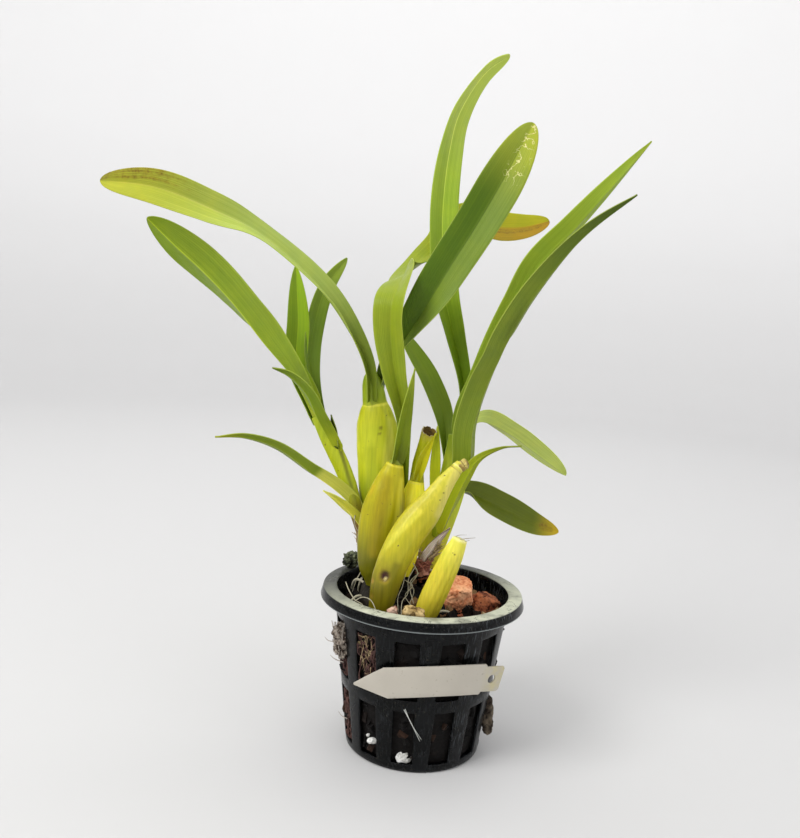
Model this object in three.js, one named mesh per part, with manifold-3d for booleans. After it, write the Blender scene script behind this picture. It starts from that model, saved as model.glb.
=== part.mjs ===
// Potted miltonia orchid: a clump of pseudobulbs and strap leaves in a slotted plastic net pot.
// Millimetres, +Z up. The origin is the middle of the pot's underside and the front faces -Y.
import * as THREE from "three";
import { mergeVertices } from "three/addons/utils/BufferGeometryUtils.js";
import Module from "manifold-3d";

const wasm = await Module();
wasm.setup();

// Driving dimensions
const GAP = 0.3; // air between neighbouring pieces
const POT = {
  height: 76.4,
  flangeRadius: 47,
  lipRadius: 48,
  lipHeight: 5,
  topRadius: 41.7, // outside of the wall where it meets the flange
  baseRadius: 31.9,
  wall: 1.2,
  floor: 1.8,
  sides: 48,
};
const SLOT = {
  around: 12,
  firstAngle: -9, // degrees from the front, towards +X
  tiers: [
    { low: 4, high: 30, width: 9.8 },
    { low: 36, high: 63.5, width: 11.2 },
  ],
};
const DRAIN = { around: 6, length: 12, width: 4.6, radius: 20 };
const MIX = { top: 66, mound: 6, lump: 1.3, sides: 32, rings: 6 };
const LABEL = {
  height: 14.6,
  neck: 12,
  pointEnds: 0.21, // share of the length
  neckStarts: 0.84,
  thickness: 0.7,
  holeRadius: 2.1,
  hole: [32.3, -28.4, 45.6],
  holeTurn: -52, // degrees
  lean: 0.128,
};
const BLADE = {
  midrib: 0.9,
  edge: 0.65,
  thinnest: 0.6, // half width of the tip
  bow: 7, // degrees
  foldOpens: 0.6, // share of the length over which the fold opens
  broad: 12, // a wider blade gets four strips across
  along: 16,
  crowding: 1.35, // rows stand closer towards the tip
};
const BULB_SIDES = 14;
const STEM_SIDES = 12;
const ROOT_SIDES = 6;
const ROOT_RADIUS = 0.9;

// Colours, roughness and metalness of each finish
const finish = (color, roughness, metalness = 0) =>
  new THREE.MeshStandardMaterial({ color, roughness, metalness, flatShading: false });
const FINISH = {
  potPlastic: finish(0x1c2024, 0.45),
  mix: finish(0x3a2c22, 0.95),
  brick: finish(0xc9765a, 0.9),
  darkBrick: finish(0x8a4634, 0.9),
  bark: finish(0xb89a74, 0.9),
  charcoal: finish(0x23251f, 0.95),
  root: finish(0xcfc9b4, 0.8),
  bulb: finish(0xb3b53a, 0.45),
  leaf: finish(0x6f9a34, 0.4),
  darkLeaf: finish(0x4f7a2a, 0.4),
  yellowLeaf: finish(0xa9b040, 0.45),
  sheath: finish(0xb9b77a, 0.7),
  paper: finish(0xb9a99c, 0.85),
  label: finish(0xece6d2, 0.5),
};

const v3 = (p) => new THREE.Vector3(...p);
const radians = THREE.MathUtils.degToRad;
const smooth = (x) => THREE.MathUtils.smoothstep(x, 0, 1);
const curveThrough = (points) =>
  new THREE.CatmullRomCurve3(points.map(v3), false, "centripetal");

// Repeatable draw between 0 and 1
function drawFrom(seed) {
  let state = seed * 7919 + 17;
  return () => {
    state = (state * 48271) % 2147483647;
    return state / 2147483647;
  };
}

// A closed geometry with shared corners, ready to become a solid
function weld(geometry) {
  geometry.deleteAttribute("normal");
  geometry.deleteAttribute("uv");
  return mergeVertices(geometry, 1e-4);
}

function solidOf(geometry) {
  const welded = weld(geometry);
  return new wasm.Manifold(
    new wasm.Mesh({
      numProp: 3,
      vertProperties: new Float32Array(welded.attributes.position.array),
      triVerts: new Uint32Array(welded.index.array),
    }),
  );
}

function geometryOf(solid) {
  const mesh = solid.getMesh();
  const corners = new Float32Array(mesh.numVert * 3);
  for (let i = 0; i < mesh.numVert; i++) {
    const from = i * mesh.numProp;
    corners.set(mesh.vertProperties.subarray(from, from + 3), i * 3);
  }
  const geometry = new THREE.BufferGeometry();
  geometry.setAttribute("position", new THREE.BufferAttribute(corners, 3));
  geometry.setIndex(new THREE.BufferAttribute(new Uint32Array(mesh.triVerts), 1));
  geometry.computeVertexNormals();
  return geometry;
}

const join = (solids) => solids.reduce((a, b) => a.add(b));
const cutAway = (solid, cutters) => cutters.reduce((a, b) => a.subtract(b), solid);
const largestPart = (solid) =>
  solid.decompose().reduce((a, b) => (a.volume() > b.volume() ? a : b));

// Frame along a curved piece: forward, side and face, where face looks as near `faces` as it can
function frameAt(curve, faces, v) {
  const forward = curve.getTangentAt(v);
  const spot = v * (faces.length - 1);
  const i = Math.min(Math.floor(spot), Math.max(faces.length - 2, 0));
  const face = v3(faces[i]);
  if (faces.length > 1) face.normalize().lerp(v3(faces[i + 1]).normalize(), smooth(spot - i));
  face.addScaledVector(forward, -face.dot(forward)).normalize();
  return { forward, face, side: new THREE.Vector3().crossVectors(forward, face) };
}

// Both skins and the rim of a thin sheet: a PlaneGeometry is the grid, and place(u, v, skin) puts
// its corners, with u across from -1 to 1, v along from 0 to 1, and skin 1 for top, -1 for bottom.
// The two skins are split into triangles alike, so that they can't cross where the sheet twists.
function sheetGeometry(across, lengthwise, place) {
  const grid = new THREE.PlaneGeometry(2, 1, across, lengthwise);
  const at = grid.attributes.position;
  const faces = [...grid.index.array];
  const corners = [];
  for (const skin of [1, -1])
    for (let i = 0; i < at.count; i++) corners.push(place(at.getX(i), at.getY(i) + 0.5, skin));
  for (let i = 0; i < grid.index.count; i += 3) {
    const [a, b, c] = grid.index.array.slice(i, i + 3);
    faces.push(a + at.count, c + at.count, b + at.count);
  }
  for (const [p, q] of borderOf(across, lengthwise))
    faces.push(q, p, p + at.count, q, p + at.count, q + at.count);
  return new THREE.BufferGeometry().setFromPoints(corners).setIndex(faces);
}

// Corner pairs round the border of a PlaneGeometry's grid, counterclockwise
function borderOf(across, lengthwise) {
  const row = across + 1;
  const loop = [];
  for (let i = across; i > 0; i--) loop.push(i);
  for (let j = 0; j < lengthwise; j++) loop.push(j * row);
  for (let i = 0; i < across; i++) loop.push(lengthwise * row + i);
  for (let j = lengthwise; j > 0; j--) loop.push(j * row + across);
  return loop.map((p, i) => [p, loop[(i + 1) % loop.length]]);
}

// Strap leaf: V-folded along the midrib, tight at its foot and opening towards the tip, each half
// a little bowed where the leaf is broad
function bladeGeometry(leaf, grow = 0) {
  const curve = curveThrough(leaf.route);
  const { width, foot = 0.5, fold = [55, 16], shoulder = 0.72, point = 0.5, belly = 0.45 } = leaf;
  const halfWidth = (v) => {
    const fill = foot + (1 - foot) * smooth(v / belly);
    const past = Math.max(0, (v - shoulder) / (1 - shoulder));
    return Math.max((width / 2) * fill * (1 - past * past) ** point, BLADE.thinnest) + grow;
  };
  const stretched = grow / curve.getLength();
  const across = width > BLADE.broad ? 4 : 2;
  return sheetGeometry(across, leaf.rows ?? BLADE.along, (u, row, skin) => {
    const v = 1 - (1 - row) ** BLADE.crowding;
    const { forward, face, side } = frameAt(curve, leaf.faces, v);
    const angle = radians(THREE.MathUtils.lerp(...fold, smooth(v / BLADE.foldOpens)));
    const bow = radians(BLADE.bow);
    const sideways = side.clone().multiplyScalar(Math.sign(u));
    const slope = (turn, share) => {
      const outward = sideways.clone().multiplyScalar(share * Math.cos(turn));
      return outward.addScaledVector(face, share * Math.sin(turn));
    };
    const out = slope(angle + bow, Math.min(Math.abs(u), 0.5));
    out.add(slope(angle - bow, Math.max(Math.abs(u) - 0.5, 0)));
    const half = THREE.MathUtils.lerp(BLADE.midrib, BLADE.edge, Math.abs(u)) / 2 + grow;
    const lift = sideways.multiplyScalar(-Math.sin(angle));
    lift.addScaledVector(face, u === 0 ? 1 : Math.cos(angle));
    return curve
      .getPointAt(v)
      .addScaledVector(out, halfWidth(v))
      .addScaledVector(lift, half * skin)
      .addScaledVector(forward, (v < stretched ? -grow : 0) + (row === 1 ? grow : 0));
  });
}

// Bulb, stem or root: a lathe-turned body whose axis is bent onto a curve and whose section is
// flattened from front to back. `radii` is a list of [share of length, radius].
function bentBodyGeometry({ route, radii, flat = 1, sides, rows = 10 }, grow = 0) {
  const curve = curveThrough(route);
  const stations = radii.map(([share, radius]) => new THREE.Vector2(radius, share));
  const outline = new THREE.SplineCurve(stations);
  const profile = [new THREE.Vector2(0, 0), ...outline.getPoints(rows), new THREE.Vector2(0, 1)];
  const geometry = new THREE.LatheGeometry(profile, sides);
  geometry.rotateX(Math.PI / 2);
  return bend(geometry, curve, flat, grow);
}

// Moves a body that was turned about Z, 1 long, onto the curve
function bend(geometry, curve, flat, grow) {
  const at = geometry.attributes.position;
  for (let i = 0; i < at.count; i++) {
    const corner = new THREE.Vector3().fromBufferAttribute(at, i);
    const v = THREE.MathUtils.clamp(corner.z, 0, 1);
    const { forward, face, side } = frameAt(curve, [[0, -1, 0]], v);
    const radius = Math.hypot(corner.x, corner.y);
    const wider = radius > 0 ? (radius + grow) / radius : 1;
    const thicker = radius > 0 ? (radius * flat + grow) / radius : 1;
    const end = v === 0 ? -grow : v === 1 ? grow : 0;
    const moved = curve.getPointAt(v);
    moved.addScaledVector(side, corner.x * wider);
    moved.addScaledVector(face, -corner.y * thicker).addScaledVector(forward, end);
    at.setXYZ(i, moved.x, moved.y, moved.z);
  }
  return geometry;
}

// Tube of even thickness along a route
function tubeSolid(points, radius) {
  const section = new THREE.Shape();
  for (let i = 0; i < ROOT_SIDES; i++) {
    const turn = (i / ROOT_SIDES) * 2 * Math.PI;
    const corner = [radius * Math.cos(turn), radius * Math.sin(turn)];
    if (i === 0) section.moveTo(...corner);
    else section.lineTo(...corner);
  }
  const options = { steps: 2 * (points.length - 1), extrudePath: curveThrough(points) };
  return solidOf(new THREE.ExtrudeGeometry(section, options));
}

// Angular lump: a box of few faces with its corners knocked about
function lumpGeometry({ at, size, turn = [0, 0, 0], seed, splits = [2, 2, 2] }, grow = 0) {
  const rough = 0.16;
  const draw = drawFrom(seed);
  const geometry = weld(new THREE.BoxGeometry(1, 1, 1, ...splits));
  const corners = geometry.attributes.position;
  const place = new THREE.Matrix4().compose(
    v3(at),
    new THREE.Quaternion().setFromEuler(new THREE.Euler(...turn.map(radians))),
    new THREE.Vector3(...size.map((s) => s + 2 * grow)),
  );
  for (let i = 0; i < corners.count; i++) {
    const corner = new THREE.Vector3().fromBufferAttribute(corners, i);
    const trim = corner.length() > 0.8 ? 0.78 : corner.length() > 0.6 ? 0.9 : 1;
    corner.multiplyScalar(trim * (1 + rough * (draw() - 0.6))).applyMatrix4(place);
    corners.setXYZ(i, corner.x, corner.y, corner.z);
  }
  return geometry;
}

// Outside radius of the pot's wall at a height
const wallRadius = (z) =>
  THREE.MathUtils.lerp(POT.baseRadius, POT.topRadius, z / POT.height);

// Direction from the pot's axis at an angle in degrees from the front, towards +X
const headings = (degrees) => [Math.sin(radians(degrees)), -Math.cos(radians(degrees))];

// A box that stands across the pot's wall at an angle from the front
function wallBox(degrees, low, high, width, depth) {
  const [x, y] = headings(degrees);
  const radius = wallRadius((low + high) / 2);
  const box = new THREE.BoxGeometry(width, depth, high - low);
  box.rotateZ(radians(degrees));
  box.translate(x * radius, y * radius, (low + high) / 2);
  return box;
}

// Every slot as [angle, tier]
const slots = SLOT.tiers.flatMap((tier) =>
  Array.from({ length: SLOT.around }, (_, i) => [SLOT.firstAngle + (i * 360) / SLOT.around, tier]),
);

// Pot: tapered wall with a flat flange and a turned-down lip, slotted all round
function makePot() {
  const { height, flangeRadius, lipRadius, lipHeight, topRadius, baseRadius, wall, floor } = POT;
  const low = height - lipHeight;
  const profile = [
    [0, 0],
    [baseRadius - 1, 0],
    [baseRadius, 1],
    [wallRadius(height - wall), height - wall],
    [flangeRadius - wall, height - wall],
    [lipRadius - wall, low],
    [lipRadius, low],
    [flangeRadius, height - 0.4],
    [flangeRadius - 0.4, height],
    [topRadius - wall, height],
    [baseRadius - wall, floor],
    [0, floor],
  ].map((p) => new THREE.Vector2(...p));
  const body = new THREE.LatheGeometry(profile, POT.sides);
  body.rotateX(Math.PI / 2);
  const cuts = slots.map(([angle, tier]) =>
    solidOf(wallBox(angle, tier.low, tier.high, tier.width, 12)),
  );
  for (let i = 0; i < DRAIN.around; i++)
    cuts.push(drainCut(((i + 0.5) * 360) / DRAIN.around));
  return cutAway(solidOf(body), cuts);
}

function drainCut(degrees) {
  const [x, y] = headings(degrees);
  const cut = new THREE.CapsuleGeometry(DRAIN.width / 2, DRAIN.length - DRAIN.width, 3, 8);
  cut.scale(1, 1, 3);
  cut.rotateZ(radians(degrees));
  cut.translate(x * DRAIN.radius, y * DRAIN.radius, POT.floor / 2);
  return solidOf(cut);
}

// Height of the mix's lumpy surface, highest where the rhizome sits
function mixHeight(x, y) {
  const centre = Math.exp(-((x + 6) ** 2 + (y - 8) ** 2) / 420);
  const lumps = Math.sin(0.42 * x + 1) * Math.cos(0.5 * y) + 0.6 * Math.sin(0.8 * x - 0.7 * y);
  return MIX.top + MIX.mound * centre + MIX.lump * lumps;
}

// Potting mix: fills the pot, with clods that look out of the slots
function makeMix() {
  const low = POT.floor + GAP;
  const inside = (z) => wallRadius(z) - POT.wall - 2 * GAP;
  const profile = [new THREE.Vector2(0, low), new THREE.Vector2(inside(low) - 1.4, low)];
  profile.push(new THREE.Vector2(inside(low + 2), low + 2));
  for (let i = MIX.rings; i >= 0; i--)
    profile.push(new THREE.Vector2((inside(MIX.top) * i) / MIX.rings, MIX.top));
  const body = new THREE.LatheGeometry(profile, MIX.sides);
  body.rotateX(Math.PI / 2);
  const at = body.attributes.position;
  for (let i = 0; i < at.count; i++)
    if (at.getZ(i) === MIX.top) at.setZ(i, mixHeight(at.getX(i), at.getY(i)));
  return join([solidOf(body), ...slots.map(([angle, tier], i) => clodIn(angle, tier, i))]);
}

// A clod of bark that fills a slot and stays clear of its edges
function clodIn(angle, tier, seed) {
  const draw = drawFrom(seed + 40);
  const z = (tier.low + tier.high) / 2;
  const [x, y] = headings(angle);
  const radius = wallRadius(z) - POT.wall - 2.6 + 0.9 * draw();
  return solidOf(
    lumpGeometry({
      at: [x * radius, y * radius, z],
      size: [tier.width - 1.4, 6, tier.high - tier.low - 1.4],
      turn: [0, 0, angle],
      splits: [1, 1, 3],
      seed,
    }),
  );
}

// Plant label: stiff tag that leans on the front of the pot, with both ends standing off the wall
function labelSolid() {
  const curve = curveThrough([
    [-28.5, -33.5, 41.2],
    [-15, -37.6, 44.2],
    [2, -38.8, 46.5],
    [15, -37.2, 47.3],
    [25, -33, 46.7],
    [32, -28.6, 45.6],
    [37.2, -24.4, 44.4],
  ]);
  const faces = [[-0.35, -1, 0], [0, -1, 0], [0.35, -1, 0], [0.62, -0.79, 0]];
  const outline = (v) => {
    if (v < LABEL.pointEnds) return THREE.MathUtils.lerp(0.8, LABEL.height, v / LABEL.pointEnds);
    return v < LABEL.neckStarts ? LABEL.height : LABEL.neck;
  };
  const sheet = sheetGeometry(2, 24, (u, v, skin) => {
    const { side, face } = frameAt(curve, faces, v);
    const up = (outline(v) / 2) * u;
    const spot = curve.getPointAt(v).addScaledVector(side, up);
    return spot.addScaledVector(face, (skin * LABEL.thickness) / 2 - LABEL.lean * up);
  });
  const hole = new THREE.CylinderGeometry(LABEL.holeRadius, LABEL.holeRadius, 8, 12);
  hole.rotateZ(Math.PI / 2);
  hole.rotateZ(radians(LABEL.holeTurn));
  hole.translate(...LABEL.hole);
  return cutAway(solidOf(sheet), [solidOf(hole)]);
}

// Every bent body: the route of its axis from foot to top, its radii as [share of length, radius],
// the way its broad side looks, and how flat it is
const BODIES = {
  pseudobulb_back: {
    route: [[-17, 18, 82], [-21, 18, 104], [-24, 18, 128], [-26.5, 17, 145], [-28.5, 15.5, 161]],
    radii: [[0, 4], [0.2, 8], [0.5, 10.2], [0.8, 9.2], [1, 5.2]],
    flat: 0.72,
    colour: "bulb",
  },
  pseudobulb_left: {
    route: [[-23, -1, 76], [-22.5, -2, 100], [-20, -2, 120], [-17, -2, 135]],
    radii: [[0, 3.5], [0.25, 8.2], [0.55, 9.2], [0.85, 6.3], [1, 3.5]],
    flat: 0.68,
    colour: "bulb",
  },
  pseudobulb_middle: {
    route: [[-10, 4, 80], [-8.5, 5, 102], [-7.5, 5, 116], [-6.5, 5, 126]],
    radii: [[0, 3], [0.3, 5.6], [0.65, 6.2], [1, 3.4]],
    flat: 0.65,
    colour: "bulb",
  },
  pseudobulb_front: {
    route: [
      [-20, -18, 66], [-16.5, -17, 87], [-10, -15.5, 104], [0, -12.5, 119], [7, -9.5, 130],
      [13, -7, 138],
    ],
    radii: [[0, 4.4], [0.3, 6.6], [0.55, 7], [0.8, 4.6], [1, 2.2]],
    flat: 0.72,
    colour: "bulb",
  },
  pseudobulb_cut: {
    route: [[0, -20, 66], [4, -21, 79], [9, -22, 93], [14, -23, 107]],
    radii: [[0, 4.2], [0.3, 5.6], [0.7, 5], [1, 2.9]],
    flat: 0.8,
    colour: "bulb",
  },
  stem_left: {
    route: [
      [-24.5, 7.5, 77], [-29, 8.5, 90], [-33, 11, 103], [-39, 15, 121], [-48, 18, 138],
      [-56, 20, 152],
    ],
    radii: [[0, 3.4], [0.35, 4.4], [0.8, 4], [1, 3]],
    flat: 0.5,
    sides: STEM_SIDES,
    colour: "leaf",
  },
  stem_right: {
    route: [[1.5, 15, 86], [5, 14.5, 98], [10, 14.5, 118], [12.5, 15, 136], [12.5, 16, 148]],
    radii: [[0, 3.6], [0.3, 4.6], [0.7, 5.6], [1, 4]],
    flat: 0.42,
    sides: STEM_SIDES,
    colour: "leaf",
  },
};

// Leaves and sheaths: midline from foot to tip, the way the upper face looks along it, full width,
// and the neighbours that it is trimmed clear of where it clasps them
const LEAVES = {
  leaf_long_left: {
    route: [
      [-31, 13, 161.5], [-33, 11, 177], [-43, 7, 195], [-56.5, 1, 212.5], [-83, -5, 234],
      [-107.5, -10, 244.5], [-128.5, -14, 251], [-151.5, -17, 252],
    ],
    faces: [[0.35, -0.94, -0.02], [0.6, -0.46, 0.66], [0.96, 0.07, -0.26], [0.13, -0.97, 0.21]],
    width: 17,
    shoulder: 0.8,
    clears: ["pseudobulb_back"],
    colour: "yellowLeaf",
  },
  leaf_broad_front: {
    route: [
      [-25.5, 17.5, 162], [-23.5, 15.5, 177], [-16.5, 12, 191], [-8, 8, 207], [2, 3, 226.5],
      [12, -2, 245], [21.5, -6, 264.5], [32.5, -10, 289.5],
    ],
    faces: [[-0.8, -0.6, 0], [-0.25, -0.95, 0.15], [0.1, -0.95, 0.3]],
    width: 21,
    foot: 0.35,
    shoulder: 0.76,
    clears: ["pseudobulb_back", "leaf_long_left"],
    colour: "darkLeaf",
  },
  leaf_left_bulb: {
    route: [[-17, -2, 135.5], [-15, -4, 149], [-13, -5, 165], [-11, -5, 180]],
    faces: [[0.5, -0.9, 0]],
    width: 7.5,
    foot: 1,
    shoulder: 0.1,
    point: 1,
    rows: 8,
    clears: ["pseudobulb_left"],
    colour: "leaf",
  },
  leaf_stub_middle: {
    route: [[-6.5, 5, 126.5], [-4, 4, 137], [1, 2.5, 150]],
    faces: [[0, -1, 0]],
    width: 6.5,
    foot: 1,
    shoulder: 0.1,
    point: 1.2,
    rows: 8,
    clears: ["pseudobulb_middle"],
    colour: "yellowLeaf",
  },
  leaf_centre_twisted: {
    route: [
      [-12, 11, 110], [-12.5, 9.5, 128.5], [-14.5, 5, 155.5], [-20.5, 0, 178], [-23, -3, 196],
      [-23, -4, 209], [-18.5, 12, 221], [-18.5, 24, 222], [-11, 34, 228.5], [-1.5, 42, 238.5],
      [4, 49, 249.5], [14, 55, 253], [27.5, 62, 250.5], [41.5, 69, 252], [55.5, 75, 256.5],
    ],
    faces: [
      [0.29, -0.96, 0], [0, -1, 0], [0.02, -1, 0], [-0.49, -0.87, 0.06], [-0.67, -0.45, 0.6],
      [-0.2, -0.84, 0.5], [0.28, -0.92, 0.28], [0.28, -0.92, 0.28],
    ],
    width: 16,
    foot: 0.3,
    belly: 0.42,
    rows: 22,
    clears: ["pseudobulb_back", "pseudobulb_middle", "leaf_broad_front"],
    colour: "yellowLeaf",
  },
  leaf_broad_left: {
    route: [
      [-57.5, 20.5, 150], [-67.5, 18, 168], [-83, 15, 185.5], [-97, 10, 203], [-111.5, 6, 217.5],
      [-123.5, 2, 228], [-135.5, -1, 239],
    ],
    faces: [[0.84, -0.15, 0.52], [0.64, 0.58, 0.51], [0.34, 0.86, 0.37]],
    width: 30.5,
    shoulder: 0.55,
    point: 0.6,
    clears: ["stem_left"],
    colour: "leaf",
  },
  leaf_left_inner: {
    route: [[-57.5, 23, 146.5], [-68.5, 30, 173], [-70, 38, 196.5], [-73.5, 45, 223.5]],
    faces: [[0.31, -0.93, 0.21], [0.01, -0.96, 0.29]],
    width: 12,
    shoulder: 0.55,
    point: 0.7,
    clears: ["stem_left", "leaf_broad_left"],
    colour: "leaf",
  },
  leaf_left_back: {
    route: [[-51.5, 23, 144], [-62, 31, 173.5], [-62.5, 42, 194.5], [-58.5, 50, 213.5], [-49, 58, 229.5]],
    faces: [[0.63, -0.78, -0.01], [0.55, -0.81, 0.2]],
    width: 11,
    foot: 0.35,
    shoulder: 0.6,
    point: 0.6,
    clears: ["stem_left", "leaf_left_inner", "leaf_broad_left"],
    colour: "darkLeaf",
  },
  leaf_left_short: {
    route: [[-46, 14.5, 136.5], [-54.5, 12, 151], [-60.5, 9, 163], [-69, 7, 171.5], [-77, 5, 175]],
    faces: [[0.7, 0.45, 0.5], [0.45, 0.6, 0.65]],
    width: 11.5,
    foot: 0.8,
    shoulder: 0.5,
    point: 0.8,
    rows: 10,
    clears: ["stem_left", "leaf_broad_left"],
    colour: "leaf",
  },
  leaf_left_low: {
    route: [
      [-32, 11.5, 100], [-38, 12.5, 111.5], [-45, 11.5, 118], [-56.5, 9, 126], [-72, 4, 137.5],
      [-86.5, -1, 142.5], [-100, -6, 142.5],
    ],
    faces: [[0.67, 0.69, 0.27], [0.28, 0.66, 0.7]],
    width: 11.5,
    foot: 1,
    shoulder: 0.3,
    point: 0.9,
    clears: ["stem_left"],
    colour: "leaf",
  },
  sheath_left_pointed: {
    route: [[-29, 7, 98], [-36, 5.5, 108], [-44, 4, 115], [-50, 3, 119]],
    faces: [[0.4, 0.8, 0.4]],
    width: 8,
    foot: 1,
    shoulder: 0.3,
    point: 1,
    rows: 8,
    clears: ["stem_left", "leaf_left_low", "pseudobulb_left"],
    colour: "sheath",
  },
  sheath_left_small: {
    route: [[-44.5, 16.5, 137], [-47, 18, 145], [-49.5, 19, 153]],
    faces: [[-0.6, -0.8, 0]],
    width: 4.5,
    foot: 1,
    shoulder: 0.3,
    point: 1,
    rows: 6,
    clears: ["stem_left", "leaf_left_short", "leaf_left_back"],
    colour: "darkLeaf",
  },
  leaf_right_front: {
    route: [
      [5, 9, 98], [9.5, 8, 113], [17.5, 7, 132], [18, 5, 152.5], [23, 1, 175], [26.5, -4, 186],
      [29, -9, 194.5], [37, -14, 212.5], [50, -18, 233.5], [59.5, -20, 245], [77.5, -21, 261],
    ],
    faces: [[-0.31, 0.95, 0], [-0.75, 0.64, 0.16], [-0.58, 0.44, 0.68]],
    width: 19.5,
    foot: 0.75,
    shoulder: 0.45,
    point: 0.85,
    fold: [50, 25],
    rows: 20,
    clears: ["stem_right"],
    colour: "leaf",
  },
  leaf_right_long: {
    route: [
      [11.5, 11.5, 142], [14, 11, 160], [20.5, 9, 175.5], [28, 5, 194.5], [35, 1, 212],
      [41.5, -4, 229], [54, -9, 245.5], [67, -12, 263], [83, -14, 284.5],
    ],
    faces: [[-0.51, 0.86, 0], [-0.55, 0.77, 0.32], [-0.35, 0.78, 0.52]],
    width: 17.5,
    shoulder: 0.45,
    point: 0.85,
    fold: [50, 30],
    rows: 18,
    clears: ["stem_right", "leaf_right_front"],
    colour: "leaf",
  },
  leaf_tall_back: {
    route: [
      [12, 18.5, 140], [13.5, 20, 168.5], [6.5, 23, 195], [0.5, 26, 216], [-2, 30.5, 241],
      [-2.5, 38, 261.5], [-1, 48, 285], [3, 59, 305.5], [15, 67, 327.5], [27.5, 73, 338.5],
    ],
    faces: [[0.2, -0.98, 0], [0.34, -0.94, 0], [0.98, -0.19, 0.08]],
    width: 16,
    shoulder: 0.75,
    clears: ["stem_right", "leaf_centre_twisted"],
    colour: "leaf",
  },
  leaf_centre_back: {
    route: [
      [9, 19.5, 126.5], [7.5, 25, 140], [5, 30, 155], [-3, 35, 172], [-12, 40, 185],
      [-20.5, 45, 196],
    ],
    faces: [[0, -1, 0.2], [0.4, -0.8, 0.4]],
    width: 11,
    shoulder: 0.6,
    clears: ["stem_right", "leaf_tall_back"],
    colour: "darkLeaf",
  },
  leaf_right_drooping: {
    route: [
      [16, 18, 128], [17, 23, 146.5], [23, 30, 153], [38.5, 38, 147.5], [55.5, 43, 136.5],
      [71.5, 47, 126],
    ],
    faces: [[-0.84, -0.01, 0.54], [0.05, 0.38, 0.92], [0.19, 0.63, 0.75]],
    width: 18.5,
    shoulder: 0.6,
    point: 0.6,
    clears: ["stem_right", "leaf_tall_back", "leaf_right_front"],
    colour: "leaf",
  },
  leaf_right_thin: {
    route: [
      [7, 5.5, 100.5], [11, 4.5, 114.5], [16, 3.5, 128.5], [21.5, 3.5, 138.5], [32, 5, 144.5],
      [42, 9, 145.5],
    ],
    faces: [[-0.4, 0.91, 0.09], [0.01, 0.73, 0.68]],
    width: 11.5,
    foot: 1,
    shoulder: 0,
    point: 1.6,
    clears: ["leaf_right_front"],
    colour: "leaf",
  },
  leaf_right_low: {
    route: [
      [9, 18.5, 106], [15, 24, 117.5], [22, 30, 116], [37, 36, 109.5], [56.5, 40, 100.5],
      [69.5, 42, 97],
    ],
    faces: [[-0.4, -0.61, 0.69], [0.15, -0.81, 0.57], [0.15, -0.79, 0.6]],
    width: 16.5,
    shoulder: 0.6,
    point: 0.6,
    clears: ["stem_right", "leaf_right_front"],
    colour: "darkLeaf",
  },
  leaf_inner_small: {
    route: [[4, 12, 106], [2.5, 11.5, 125], [2, 12, 140], [2, 12.5, 152]],
    faces: [[0, -1, 0]],
    width: 5.5,
    foot: 1,
    shoulder: 0.5,
    point: 0.8,
    rows: 8,
    clears: ["stem_right", "leaf_right_front"],
    colour: "yellowLeaf",
  },
  papery_sheath: {
    route: [[-1, 11.5, 80], [0, 7, 84], [3.5, 5, 90], [8, 4.5, 96], [12.5, 4, 101]],
    faces: [[-0.4, 0.9, 0.1]],
    width: 6,
    foot: 1,
    shoulder: 0.3,
    point: 0.8,
    rows: 8,
    clears: ["leaf_right_front", "leaf_right_thin", "pseudobulb_middle"],
    colour: "paper",
  },
};

// Hollow foot of a cut leaf: a thin cup, open at the top
const CUT_SHEATH = {
  route: [[-8.5, 11, 116], [-6, 10.5, 134], [-1.5, 10.5, 151]],
  radius: 3.3,
  wall: 0.7,
  flat: 0.8,
};

// Creeping rhizome under the bulbs, and the roots that leave it for the mix
const RHIZOME = {
  route: [
    [2, -18, 65], [-9, -15, 67], [-20, -13, 68], [-25, -2, 71], [-21, 12, 76], [-9, 17, 79],
    [2, 15, 81],
  ],
  radius: 4.6,
};
const ROOTS = [
  [[-25, -4, 71], [-31, -6, 72], [-35, -8, 67], [-35, -9, 60]],
  [[-25, 4, 73], [-31, 8, 76], [-34, 12, 70], [-33, 13, 62]],
  [[-8, -15, 67], [-7, -23, 71], [-6, -29, 67], [-6, -33, 61]],
  [[-10, 16, 79], [-3, 8, 80], [-3, -2, 75], [-4, -8, 66]],
  [[1, 15, 81], [10, 15, 79], [15, 19, 71], [17, 22, 63]],
  [[-9, 17, 79], [-10, 27, 78], [-12, 32, 70], [-13, 33, 62]],
  [[-21, 12, 76], [-28, 18, 76], [-31, 19, 69], [-31, 19, 61]],
  [[1, -18, 65], [8, -13, 70], [14, -12, 68], [19, -12, 60]],
];

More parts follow.
